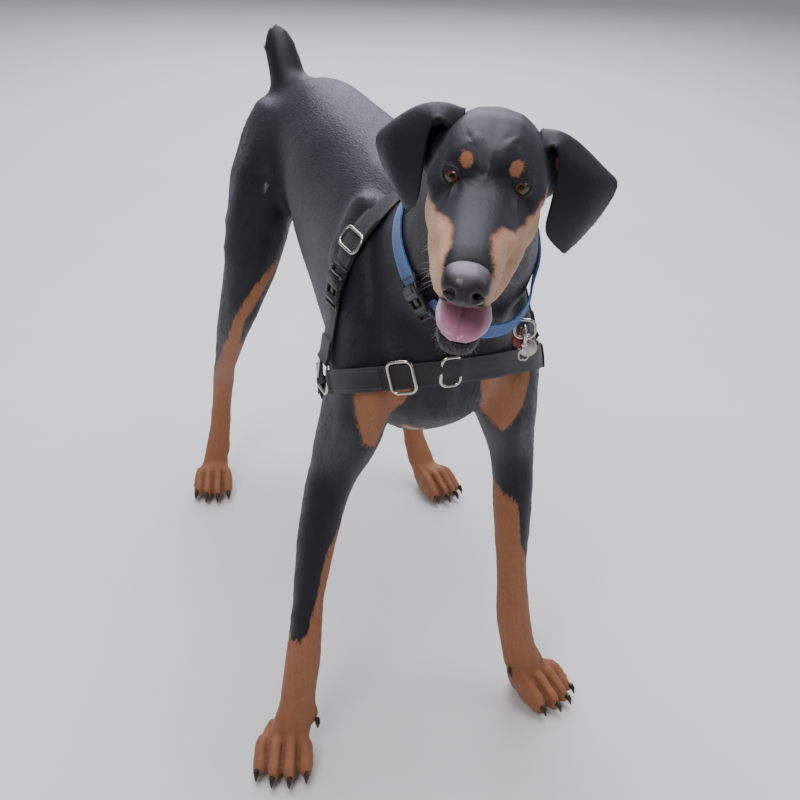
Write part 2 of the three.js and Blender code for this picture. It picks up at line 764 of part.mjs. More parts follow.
// Legs, each parted above the elbow or knee, at the hock of a hind leg, and at the pastern.
const JOINTS = {
  foreleg: { upper: 372, lower: 96 },
  hindleg: { upper: 385, lower: 205, hock: 78 },
};
for (const [name, stations] of Object.entries(LEGS)) {
  const [kind, side] = name.split("_");
  let below = rest.intersect(legSpace(stations));
  for (const [length, z] of Object.entries(JOINTS[kind])) {
    const [above, next] = part(below, V(0, 0, z), V(0, 0, 1));
    add(`${name}_${length}`, above, length === "upper" ? "coat" : "rust");
    below = next;
  }
  const pawName = `${kind === "foreleg" ? "forepaw" : "hindpaw"}_${side}`;
  add(pawName, below, "rust");
  claws(PAWS[pawName]).forEach((claw, i) =>
    add(i < TOES.length ? `claw_${pawName}_${i + 1}` : `dewclaw_${side}`, cut(solid(claw), floor), "claw"),
  );
}

// What the head carries.
const headRoom = cut(fuse([...headForms(GAP), ...jawForms(GAP)].map(onHead)), mouth);
add("nose", cut(solid(noseForm()), fuse(nostrils().map(onHead))), "nose");
add("tongue", cut(solid(onHead(loft(TONGUE, { sides: 10, steps: 1 }))), headRoom), "tongue");
for (const [name, side] of Object.entries(SIDES)) {
  add(`ear_${name}`, cut(solid(onHead(ear(EARS[name]))), headRoom), "coat");
  add(`eye_${name}`, solid(onHead(eyeball(side))), "eye");
}

// Collar and harness.
const bodyRoom = fuse([...trunkForms(LIFT - 0.1), ...legForms("foreleg", LIFT - 0.1)]).add(girthed);
const STRAPS = {
  collar_band: {
    at: [2, -279, 627],
    normal: [-0.02, -0.84, 0.54],
    from: 230,
    to: 550,
    steps: 26,
    slack: { at: 303, by: 13 },
  },
  harness_chest_strap: { at: [0, -187, 477], normal: [0, 0.43, 0.9], from: 188, to: 352, steps: 16 },
  harness_shoulder_strap: { at: [0, -181, 481], normal: [0, -1, 0.03], from: 6, to: 174, steps: 16 },
  harness_girth_strap: { at: [0, -170, 481], normal: [0, -0.72, -0.69], from: 186, to: 354, steps: 16 },
};
const laid = {};
for (const [name, plan] of Object.entries(STRAPS)) {
  laid[name] = strap(name === "collar_band" ? fuse(trunkForms()) : girthed, plan);
  const look = name === "collar_band" ? "collar" : "webbing";
  add(name, cut(solid(laid[name].form()), bodyRoom), look);
}
const CLEAR = WIRE + GAP;
const frameLoop = () => loop(20, WEBBING + 8, 7);
const hem = -WEBBING / 2;
// Each fitting: its strap and the angle of its place there, its form, how high it stands, and its look.
const FITTINGS = {
  collar_buckle: ["collar_band", 210, buckle(46, 30, 9), -3, "plastic"],
  collar_ring: ["collar_band", 311, loop(20, 18, 7).translate(0, hem - 9 - CLEAR, 0), 8, "steel"],
  collar_clip: [
    "collar_band",
    311,
    loop(13, 17, 6).applyMatrix4(new THREE.Matrix4().makeRotationY(rad(90))).translate(0, hem - 15.5, 0),
    8,
    "steel",
  ],
  collar_tag_plain: ["collar_band", 311, disc(9, 1.4).translate(4, hem - 36, 0), 10, "steel"],
  collar_tag_red: ["collar_band", 311, disc(8, 1.4).translate(-4, hem - 35, 0), 7.5, "tag"],
  harness_chest_slider: ["harness_chest_strap", 238, loop(26, WEBBING + 8, 7), CLEAR, "steel"],
  harness_chest_ring: ["harness_chest_strap", 263, frameLoop(), CLEAR, "steel"],
  harness_shoulder_slider: ["harness_shoulder_strap", 119, frameLoop(), CLEAR, "steel"],
  harness_shoulder_buckle: ["harness_shoulder_strap", 135, buckle(44, 32, 9), -3, "plastic"],
  harness_girth_buckle: ["harness_girth_strap", 322, buckle(44, 32, 9), -3, "plastic"],
  harness_side_ring_right: ["harness_shoulder_strap", 180, loop(32, 32, 6), CLEAR, "steel"],
  harness_side_ring_left: ["harness_shoulder_strap", 0, loop(32, 32, 6), CLEAR, "steel"],
};
const strapRoom = Object.values(laid).map((one) => solid(one.form(GAP)));
for (const [name, [on, angle, form, raise, look]] of Object.entries(FITTINGS))
  add(
    name,
    cut(solid(form.translate(0, 0, raise).applyMatrix4(laid[on].seat(angle))), bodyRoom, ...strapRoom),
    look,
  );

export default group;
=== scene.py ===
"""Dresses the still doberman pinscher: its skin and short coat, eyes, nose, tongue, claws, collar and harness."""

import logging
import math
from collections.abc import Iterator
from contextlib import contextmanager
from dataclasses import dataclass, field

import bpy
import numpy as np
from mathutils import Matrix, Vector, kdtree
from mathutils.bvhtree import BVHTree


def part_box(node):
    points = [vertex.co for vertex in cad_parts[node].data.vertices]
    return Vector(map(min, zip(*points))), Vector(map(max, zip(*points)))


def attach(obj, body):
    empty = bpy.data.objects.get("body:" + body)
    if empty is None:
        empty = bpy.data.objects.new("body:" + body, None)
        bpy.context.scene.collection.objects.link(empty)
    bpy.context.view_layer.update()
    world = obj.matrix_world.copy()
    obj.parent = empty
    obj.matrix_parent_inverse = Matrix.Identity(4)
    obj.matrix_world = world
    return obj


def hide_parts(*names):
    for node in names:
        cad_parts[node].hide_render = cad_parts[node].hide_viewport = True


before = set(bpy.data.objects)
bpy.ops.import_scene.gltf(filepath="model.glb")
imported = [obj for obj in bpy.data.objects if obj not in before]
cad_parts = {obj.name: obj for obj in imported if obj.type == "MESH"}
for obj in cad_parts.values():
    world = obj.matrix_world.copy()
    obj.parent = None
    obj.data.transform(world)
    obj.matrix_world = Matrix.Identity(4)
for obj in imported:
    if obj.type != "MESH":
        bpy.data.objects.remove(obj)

Array = np.ndarray
Colour = tuple[float, float, float]
log = logging.getLogger("doberman")

SIDES = {"right": -1, "left": 1}
SHIFT = np.array((-8, 68, 0))  # from the dog's own frame to the row frame, in millimetres
HEAD_AT = np.array((-0.020, -0.286, 0.764))
HEAD_TURN = np.array(
    Matrix.Rotation(math.radians(-26.1), 3, "Z")
    @ Matrix.Rotation(math.radians(-0.7), 3, "X")
    @ Matrix.Rotation(math.radians(6.0), 3, "Y")
)


def to_head(points: Array) -> Array:
    """Points of the row frame in the head's own frame, in millimetres from the nape."""
    return (points - HEAD_AT) @ HEAD_TURN * 1000


def from_head(points: Array) -> Array:
    """Points of the head's own frame, in millimetres, in the row frame."""
    return np.asarray(points, float) / 1000 @ HEAD_TURN.T + HEAD_AT


def linear(red: int, green: int, blue: int) -> Colour:
    """A colour given as 0 to 255 a channel, as linear light."""
    shares = (red / 255, green / 255, blue / 255)
    return tuple(c / 12.92 if c <= 0.04045 else ((c + 0.055) / 1.055) ** 2.4 for c in shares)


def step(value: Array, low: float, high: float) -> Array:
    """A smooth rise from 0 at low to 1 at high."""
    t = np.clip((value - low) / (high - low), 0, 1)
    return t * t * (3 - 2 * t)


def blob(points: Array, centre: tuple, radii: tuple, edge: float = 0.25) -> Array:
    """1 inside an ellipsoid and 0 outside it, with a soft edge that is a share of its size.

    Args:
        points: Points.
        centre: The ellipsoid's middle.
        radii: Its half sizes.
        edge: The border's half width, as a share of its size.

    Returns:
        A share for each point.
    """
    reach = np.linalg.norm((points - np.array(centre)) / np.array(radii), axis=1)
    return 1 - step(reach, 1 - edge, 1 + edge)


def blobs(points: Array, centre: tuple, radii: tuple, edge: float = 0.25) -> Array:
    """The same on both sides of the animal."""
    return sum(blob(points, (side * centre[0], *centre[1:]), radii, edge) for side in SIDES.values())


def bell(distance: Array, width: float) -> Array:
    """1 at no distance, falling softly to 0 at about twice the width."""
    return np.exp(-((distance / width) ** 2))


def spline(points: tuple, count: int) -> Array:
    """Evenly shared points along a smooth curve through the given ones.

    Args:
        points: Points that the curve runs through.
        count: How many points to give.

    Returns:
        The curve's points.
    """
    rows = np.asarray(points, float)
    padded = np.vstack((2 * rows[0] - rows[1], rows, 2 * rows[-1] - rows[-2]))
    share = np.linspace(0, len(rows) - 1, count)
    index = np.minimum(share.astype(int), len(rows) - 2)
    t = (share - index)[:, None]
    a, b, c, d = (padded[index + k] for k in range(4))
    return 0.5 * (2 * b + (c - a) * t + (2 * a - 5 * b + 4 * c - d) * t**2 + (3 * b - a - 3 * c + d) * t**3)


def along_line(points: Array, line: Array) -> Array:
    """Each point's distance from a line of short straight lengths.

    Args:
        points: Points of space or of a plane.
        line: The line's points in order.

    Returns:
        A distance for each point.
    """
    best = np.full(len(points), np.inf)
    for start, end in zip(line[:-1], line[1:]):
        way = end - start
        share = np.clip((points - start) @ way / max(way @ way, 1e-12), 0, 1)
        best = np.minimum(best, np.linalg.norm(points - start - share[:, None] * way, axis=1))
    return best


def unit(vectors: Array) -> Array:
    """Vectors of length one."""
    vectors = np.asarray(vectors, float)
    return vectors / np.maximum(np.linalg.norm(vectors, axis=-1, keepdims=True), 1e-9)


def laid(ways: Array, normals: Array) -> Array:
    """Ways turned level with the surface, with length one."""
    ways = ways - normals * np.sum(ways * normals, axis=1)[:, None]
    return ways / np.maximum(np.linalg.norm(ways, axis=1), 1e-6)[:, None]


def drawn(flat: Array, outline: tuple, edge: float) -> Array:
    """1 inside a drawn outline and 0 outside it, with a soft border.

    Args:
        flat: Points of a plane.
        outline: The outline's corners, in order.
        edge: Half the border's width.

    Returns:
        A share for each point.
    """
    corners = np.asarray(outline + outline[:1], float)
    inside = np.zeros(len(flat), bool)
    for (x1, y1), (x2, y2) in zip(corners[:-1], corners[1:]):
        crossed = (y1 > flat[:, 1]) != (y2 > flat[:, 1])
        inside ^= crossed & (flat[:, 0] < (x2 - x1) * (flat[:, 1] - y1) / (y2 - y1 if y2 != y1 else 1e-9) + x1)
    return step(np.where(inside, 1, -1) * along_line(flat, corners), -edge, edge)


def mirrored(points: tuple, side: int) -> Array:
    """Points of the animal's left side, or the same on its right."""
    return np.array([(side * x, y, z) for x, y, z in points], float)


def deselect() -> None:
    """Leaves nothing selected, as the frame's nodes are after they load."""
    for each in bpy.context.selected_objects:
        each.select_set(False)


def activate(piece: bpy.types.Object) -> None:
    """Makes one object the only selected and the active one."""
    deselect()
    piece.select_set(True)
    bpy.context.view_layer.objects.active = piece


@contextmanager
def whole_mesh(piece: bpy.types.Object) -> Iterator[None]:
    """Edit mode with all of a piece selected."""
    activate(piece)
    bpy.ops.object.mode_set(mode="EDIT")
    bpy.ops.mesh.select_all(action="SELECT")
    yield
    bpy.ops.object.mode_set(mode="OBJECT")


def new_object(name: str, data: bpy.types.ID) -> bpy.types.Object:
    """An object of the scene that holds this mesh, camera or light."""
    made = bpy.data.objects.new(name, data)
    bpy.context.scene.collection.objects.link(made)
    return made


def new_piece(name: str, points: Array, faces: list) -> bpy.types.Object:
    """A mesh object at the origin.

    Args:
        name: The piece's name.
        points: Its corners in the row frame.
        faces: The corners of each face.

    Returns:
        The new object.
    """
    mesh = bpy.data.meshes.new(name)
    mesh.from_pydata([tuple(p) for p in points], [], [tuple(f) for f in faces])
    mesh.update()
    return new_object(name, mesh)


def joined(name: str, pieces: list[bpy.types.Object]) -> bpy.types.Object:
    """Several objects as one."""
    activate(pieces[0])
    for piece in pieces[1:]:
        piece.select_set(True)
    if len(pieces) > 1:
        bpy.ops.object.join()
    piece = bpy.context.view_layer.objects.active
    piece.name = piece.data.name = name
    return piece


def copy_nodes(name: str, *nodes: str) -> bpy.types.Object:
    """One new object from copies of CAD nodes, with their loose triangles merged."""
    copies = []
    for node in nodes:
        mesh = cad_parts[node].data.copy()
        mesh.materials.clear()
        copies.append(new_object(name, mesh))
        with whole_mesh(copies[-1]):
            bpy.ops.mesh.remove_doubles(threshold=1e-5)
    return joined(name, copies)


def apply_modifier(piece: bpy.types.Object, kind: str, **settings: object) -> None:
    """Adds a modifier and applies it."""
    activate(piece)
    modifier = piece.modifiers.new(kind.lower(), kind)
    for key, value in settings.items():
        setattr(modifier, key, value)
    bpy.ops.object.modifier_apply(modifier=modifier.name)


def fit(piece: bpy.types.Object, slot: str, *nodes: str) -> None:
    """Lets a finished piece ride and stand for CAD nodes, and logs its faces."""
    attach(piece, "root")
    if nodes:
        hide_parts(*nodes)
    log.info("%s: %d faces", piece.name, len(piece.data.polygons))


def tree_of(mesh: bpy.types.Mesh) -> BVHTree:
    """A mesh's faces, ready to be met by rays."""
    return BVHTree.FromPolygons([v.co for v in mesh.vertices], [p.vertices for p in mesh.polygons])


def keep_number(mesh: bpy.types.Mesh, name: str, values: Array) -> None:
    """Keeps a number at each point of a mesh for its material."""
    made = mesh.attributes.new(name, "FLOAT", "POINT")
    made.data.foreach_set("value", np.asarray(values, np.float32).ravel())


def shade_smooth(piece: bpy.types.Object) -> None:
    """Lets light run over the borders of a piece's faces."""
    for polygon in piece.data.polygons:
        polygon.use_smooth = True


class Surface:
    """A mesh's points and edges as arrays, for smooth moves of many points."""

    def __init__(self, mesh: bpy.types.Mesh) -> None:
        """Reads the mesh."""
        self.mesh = mesh
        self.points = np.empty(len(mesh.vertices) * 3)
        mesh.vertices.foreach_get("co", self.points)
        self.points = self.points.reshape(-1, 3)
        edges = np.empty(len(mesh.edges) * 2, np.int32)
        mesh.edges.foreach_get("vertices", edges)
        self.edges = edges.reshape(-1, 2)
        self.degree = np.maximum(np.bincount(edges, minlength=len(self.points)), 1)

    def average(self, values: Array) -> Array:
        """The mean of each point's neighbours."""
        one, two = self.edges.T
        count = len(self.points)
        columns = values.reshape(count, -1).T
        sums = [
            np.bincount(one, weights=c[two], minlength=count) + np.bincount(two, weights=c[one], minlength=count)
            for c in columns
        ]
        return (np.array(sums).T / self.degree[:, None]).reshape(values.shape)

    def blur(self, values: Array, rounds: int) -> Array:
        """Values spread over the surface."""
        for _ in range(rounds):
            values = 0.5 * values + 0.5 * self.average(values)
        return values

    def soften(self, rounds: int, share: Array) -> None:
        """Blurs the points themselves, by a share at each."""
        self.points = self.points + (self.blur(self.points, rounds) - self.points) * share[:, None]

    def smooth(self, rounds: int, share: Array | float = 1.0) -> None:
        """Takes facets and steps out of the form and keeps its volume."""
        first = self.blur(self.points, rounds)
        lost = self.points - first
        kept = first + self.blur(lost, rounds)
        weight = np.asarray(share, float)
        self.points = self.points + (kept - self.points) * (weight[:, None] if weight.ndim else weight)

    def normals(self) -> Array:
        """The outward direction at each point."""
        self.store()
        found = np.empty(len(self.points) * 3)
        self.mesh.vertices.foreach_get("normal", found)
        return found.reshape(-1, 3)

    def store(self) -> None:
        """Writes the points back to the mesh."""
        self.mesh.vertices.foreach_set("co", self.points.ravel())
        self.mesh.update()

    def attribute(self, name: str, values: Array) -> None:
        """Keeps a number at each point for the material."""
        keep_number(self.mesh, name, values)


class Shade:
    """A shader socket on which Python arithmetic adds Math nodes."""

    def __init__(self, look: "Look", socket: bpy.types.NodeSocket) -> None:
        """Wraps a socket of a look."""
        self.look = look
        self.socket = socket

    def math(self, operation: str, *values: object) -> "Shade":
        """A Math node on these values."""
        made = self.look.node("ShaderNodeMath", {"operation": operation}, dict(enumerate(values)))
        return Shade(self.look, made.outputs[0])

    def __add__(self, other: object) -> "Shade":
        """Sum."""
        return self.math("ADD", self, other)

    __radd__ = __add__

    def __sub__(self, other: object) -> "Shade":
        """Difference."""
        return self.math("SUBTRACT", self, other)

    def __rsub__(self, other: object) -> "Shade":
        """Difference from a number."""
        return self.math("SUBTRACT", other, self)

    def __mul__(self, other: object) -> "Shade":
        """Product."""
        return self.math("MULTIPLY", self, other)

    __rmul__ = __mul__

    def sine(self, length: float) -> "Shade":
        """A wave from 0 to 1 that comes back after each length."""
        return self.math("SINE", self * (2 * math.pi / length)) * 0.5 + 0.5

    def size(self) -> "Shade":
        """The number without its sign."""
        return self.math("ABSOLUTE", self)

    def between(self, low: float, high: float) -> "Shade":
        """A smooth rise from 0 at low to 1 at high."""
        settings = {"interpolation_type": "SMOOTHSTEP"}
        made = self.look.node("ShaderNodeMapRange", settings, {"Value": self, "From Min": low, "From Max": high})
        return Shade(self.look, made.outputs["Result"])


class Look:
    """A material and the one method that makes its nodes."""

    def __init__(self, name: str) -> None:
        """An empty material with its shader."""
        self.material = bpy.data.materials.new(name)
        self.material.use_nodes = True
        self.tree = self.material.node_tree
        self.shader = self.tree.nodes["Principled BSDF"]

    def node(self, kind: str, settings: dict, inputs: dict) -> bpy.types.Node:
        """A node of any type.

        Args:
            kind: The node's type.
            settings: Its properties, set first.
            inputs: Values or links for its sockets.

        Returns:
            The new node.
        """
        made = self.tree.nodes.new(kind)
        for key, value in settings.items():
            setattr(made, key, value)
        for key, value in inputs.items():
            self.feed(made.inputs[key], value)
        return made

    def feed(self, socket: bpy.types.NodeSocket, value: object) -> None:
        """Sets a socket to a number or colour, or links it."""
        if isinstance(value, Shade):
            self.tree.links.new(value.socket, socket)
        elif isinstance(value, bpy.types.NodeSocket):
            self.tree.links.new(value, socket)
        elif isinstance(value, tuple) and socket.type == "RGBA" and len(value) == 3:
            socket.default_value = (*value, 1)
        else:
            socket.default_value = value

    def set(self, **sockets: object) -> "Look":
        """Sets sockets of the shader, named with underscores for spaces."""
        for key, value in sockets.items():
            self.feed(self.shader.inputs[key.replace("_", " ")], value)
        return self

    def place(self, scale: tuple = (1, 1, 1), turn: tuple = (0, 0, 0)) -> bpy.types.NodeSocket:
        """Object coordinates, turned and stretched."""
        where = self.node("ShaderNodeTexCoord", {}, {}).outputs["Object"]
        inputs = {"Vector": where, "Scale": scale, "Rotation": turn}
        return self.node("ShaderNodeMapping", {}, inputs).outputs["Vector"]

    def noise(self, scale: float, detail: float, roughness: float, *place: tuple) -> Shade:
        """Noise from 0 to 1."""
        inputs = {"Vector": self.place(*place), "Scale": scale, "Detail": detail, "Roughness": roughness}
        return Shade(self, self.node("ShaderNodeTexNoise", {}, inputs).outputs["Fac"])

    def cells(self, scale: float) -> Shade:
        """Distance to the nearest point of a cell pattern."""
        made = self.node("ShaderNodeTexVoronoi", {}, {"Vector": self.place(), "Scale": scale})
        return Shade(self, made.outputs["Distance"])

    def value(self, name: str) -> Shade:
        """A number kept on the mesh."""
        return Shade(self, self.node("ShaderNodeAttribute", {"attribute_name": name}, {}).outputs["Fac"])

    def mix(self, factor: object, one: object, two: object) -> bpy.types.NodeSocket:
        """One colour going over into another."""
        made = self.node("ShaderNodeMix", {"data_type": "RGBA"}, {0: factor, 6: one, 7: two})
        return made.outputs[2]

    def bump(self, height: object, distance: float, strength: float = 1.0, below: object = None) -> object:
        """A normal from a height, over another normal if one is given."""
        inputs = {"Height": height, "Distance": distance, "Strength": strength}
        if below is not None:
            inputs["Normal"] = below
        return self.node("ShaderNodeBump", {}, inputs).outputs["Normal"]


@dataclass(frozen=True)
class CoatFinish:
    """Short glossy hair, black with rust markings."""

    black: Colour = linear(12, 12, 17)
    black_lit: Colour = linear(28, 27, 36)
    rust: Colour = linear(148, 97, 66)
    rust_pale: Colour = linear(200, 158, 126)
    bare: Colour = linear(20, 17, 18)
    flesh: Colour = linear(104, 52, 56)
    grey: Colour = linear(120, 114, 114)

    def look(self, name: str, bumpy: bool) -> bpy.types.Material:
        """The material of the skin or of the tufts over it."""
        look = Look(name)
        ragged = look.noise(330, 3, 0.6) * 0.3 - 0.15
        fine = look.noise(900, 2, 0.6)
        broad = look.noise(14, 3, 0.55)
        tan = (look.value("tan") + ragged).between(0.3, 0.7)
        pale = (look.value("pale") + ragged).between(0.15, 0.95)
        black = look.mix(fine * 0.5 + broad * 0.5, self.black, self.black_lit)
        rust = look.mix((pale * 0.8 + fine * 0.3 - 0.1).between(0, 1), self.rust, self.rust_pale)
        colour = look.mix(tan, black, rust)
        worn = (look.value("grey") + ragged * 2 - 0.1).between(0.3, 0.9) * fine.between(0.3, 0.6)
        colour = look.mix(worn, colour, self.grey)
        colour = look.mix(look.value("bare"), colour, self.bare)
        colour = look.mix(look.value("flesh"), colour, self.flesh)
        look.set(Base_Color=colour, Roughness=0.45 + 0.14 * broad + 0.16 * tan - 0.08 * look.value("flesh"), IOR=1.5)
        look.set(Specular_IOR_Level=0.34, Sheen_Weight=0.08, Sheen_Roughness=0.45, Sheen_Tint=(0.9, 0.88, 1.0, 1.0))
        if bumpy:
            along = look.noise(520, 2, 0.55, (1, 0.16, 0.5))
            down = look.noise(520, 2, 0.55, (1, 1, 0.16))
            legs = look.value("legs")
            hair = along * (1 - legs) + down * legs
            look.set(Normal=look.bump(hair, 0.0006, 0.5, look.bump(broad, 0.004, 0.2)))
        else:
            shade = look.mix(look.value("strand"), (0.8, 0.8, 0.8), (1.3, 1.3, 1.3))
            settings = {"data_type": "RGBA", "blend_type": "MULTIPLY"}
            look.set(Base_Color=look.node("ShaderNodeMix", settings, {0: 1.0, 6: colour, 7: shade}).outputs[2])
        return look.material


@dataclass(frozen=True)
class PlainFinish:
    """A finish of one colour with a fine grain."""

    name: str
    colour: Colour
    second: Colour
    roughness: float
    grain: float = 600
    height: float = 0.0001
    metallic: float = 0.0
    coat: float = 0.0

    def look(self) -> bpy.types.Material:
        """The material."""
        look = Look(self.name)
        grain = look.noise(self.grain, 3, 0.6)
        patch = look.noise(self.grain / 12, 2, 0.5)
        look.set(Base_Color=look.mix(patch, self.colour, self.second), Metallic=self.metallic, Coat_Weight=self.coat)
        look.set(Roughness=self.roughness + 0.2 * (patch - 0.5), Normal=look.bump(grain, self.height, 0.5))
        return look.material


@dataclass
class Ear:
    """A drop ear: a thin leaf folded over its crown, with a rounded rim, in millimetres on the head."""

    front: Array
    rear: Array
    crown: Array  # how far the leaf arches over the straight way from front to rear
    thickness: float = 3.0
    rim: float = 2.2
    rows: int = 60
    columns: int = 36

    def build(self) -> bpy.types.Object:
        """Makes the leaf as one closed shell."""
        ahead, behind, arch = (spline(p, self.rows + 1)[:, None] for p in (self.front, self.rear, self.crown))
        u = (1 - np.cos(np.pi * np.linspace(0, 1, self.columns + 1))) / 2
        u = (0.6 * u + 0.4 * np.linspace(0, 1, self.columns + 1))[None, :, None]
        leaf = ahead * (1 - u) + behind * u + arch * np.sin(np.pi * u)
        facing = unit(np.cross(np.gradient(leaf, axis=1), np.gradient(leaf, axis=0)))
        from_rim = np.minimum(*(np.linalg.norm(leaf - rim, axis=2) for rim in (leaf[:, :1], leaf[:, -1:])))
        inside = np.clip(from_rim / self.rim, 0, 1)
        v = np.linspace(0, 1, self.rows + 1)[:, None]
        half = self.thickness / 2 * np.sqrt(inside * (2 - inside)) * (1.25 - 0.5 * v)
        outer, inner = leaf + facing * half[..., None], leaf - facing * half[..., None]
        wide = self.columns + 1
        tops = np.arange((self.rows + 1) * wide).reshape(self.rows + 1, wide)
        unders = tops.copy()
        unders[1:-1, 1:-1] = np.arange((self.rows - 1) * (wide - 2)).reshape(self.rows - 1, wide - 2) + tops.size
        points = np.concatenate((outer.reshape(-1, 3), inner[1:-1, 1:-1].reshape(-1, 3)))
        faces = []
        for grid, order in ((tops, (0, 1, 2, 3)), (unders, (3, 2, 1, 0))):
            ring = np.stack((grid[:-1, :-1], grid[1:, :-1], grid[1:, 1:], grid[:-1, 1:]), axis=-1).reshape(-1, 4)
            faces += ring[:, order].tolist()
        piece = new_piece("ear", from_head(points), faces)
        with whole_mesh(piece):
            bpy.ops.mesh.remove_doubles(threshold=1e-6)
            bpy.ops.mesh.normals_make_consistent(inside=False)
        return piece


@dataclass
class EyeSocket:
    """Where an eye sits and how its lids open, in millimetres on the head."""

    side: int
    radius: float = 11.5
    inner: tuple = (21.0, -112.5, 7.0)
    outer: tuple = (34.2, -103.0, 12.4)
    centre: tuple = (23.5, -97, 10)
    upper: float = 5.1
    lower: float = 4.6
    half: float = 8.4  # the opening's length

    def axes(self) -> tuple[Array, Array, Array, Array]:
        """The ball's centre, the way along the lids, the way up and the way it looks."""
        centre, inner, outer = mirrored((self.centre, self.inner, self.outer), self.side)
        look = unit((inner + outer) / 2 - centre)
        along = outer - inner
        along = unit(along - look * (along @ look))
        up = np.cross(look, along) * self.side * -1
        return centre, along, up if up[2] > 0 else -up, look

    def outline(self) -> tuple[Array, Array]:
        """The opening's upper and lower edges, as heights over places along it."""
        place = np.linspace(-self.half, self.half, 41)
        share = place / self.half
        upper = self.upper * np.maximum(1 - np.abs(share) ** 2.2, 0) ** 0.85 + 0.25 * share
        lower = -self.lower * np.maximum(1 - np.abs(share) ** 2.0, 0) ** 0.9 - 0.5 * share * (1 - share**2)
        return np.stack((place, upper), 1), np.stack((place, lower), 1)

    def shape(self, head: Array) -> Array:
        """Draws lids over the ball in the skin's points.

        Args:
            head: The skin's points in the head's frame, moved in place.

        Returns:
            Each point's distance from the opening, less than 0 inside it and 99 far away.
        """
        centre, along, up, look = self.axes()
        offset = head - centre
        reach = np.linalg.norm(offset, axis=1)
        way = offset / np.maximum(reach, 1e-9)[:, None]
        near = (way @ look > 0.05) & (reach < 34)
        place = np.arctan2(way[near] @ along, way[near] @ look) * self.radius
        height = np.arcsin(np.clip(way[near] @ up, -1, 1)) * self.radius
        upper, lower = self.outline()
        flat = np.stack((place, height), 1)
        edge = np.minimum(along_line(flat, upper), along_line(flat, lower))
        top = np.interp(place, upper[:, 0], upper[:, 1], left=-9, right=-9)
        bottom = np.interp(place, lower[:, 0], lower[:, 1], left=9, right=9)
        edge = np.where((height < top) & (height > bottom), -edge, edge)
        above = step(height, -2, 2)
        roll = self.radius + 0.15 + (1.3 + 0.9 * above) * step(edge, -0.4, 2.2)
        roll -= 0.35 * above * bell(edge - 3.6, 1.1)  # the fold over the upper lid
        roll -= 0.3 * (1 - above) * bell(edge - 4.2, 1.4)  # and under the lower one
        roll -= 3.2 * step(-edge, 0.2, 2.6)
        share = 1 - step(edge, 2.5, 10.0)
        new = reach[near] * (1 - share) + roll * share
        head[near] = centre + way[near] * new[:, None]
        distance = np.full(len(head), 99.0)
        distance[near] = edge
        return distance


@dataclass(frozen=True)
class Stroke:
    """A ridge or a groove that follows a line over the skin."""

    line: tuple
    width: float
    height: float
    both: bool = True
    on_head: bool = True
    reach: float = 2.6  # how many widths away it still counts

    def lift(self, points: Array) -> Array:
        """How far each point moves out."""
        total = np.zeros(len(points))
        for side in SIDES.values() if self.both else (1,):
            line = spline(mirrored(self.line, side), 5 * len(self.line))
            low, high = line.min(0) - self.reach * self.width, line.max(0) + self.reach * self.width
            near = np.all((points > low) & (points < high), axis=1)
            total[near] += self.height * bell(along_line(points[near], line), self.width)
        return total


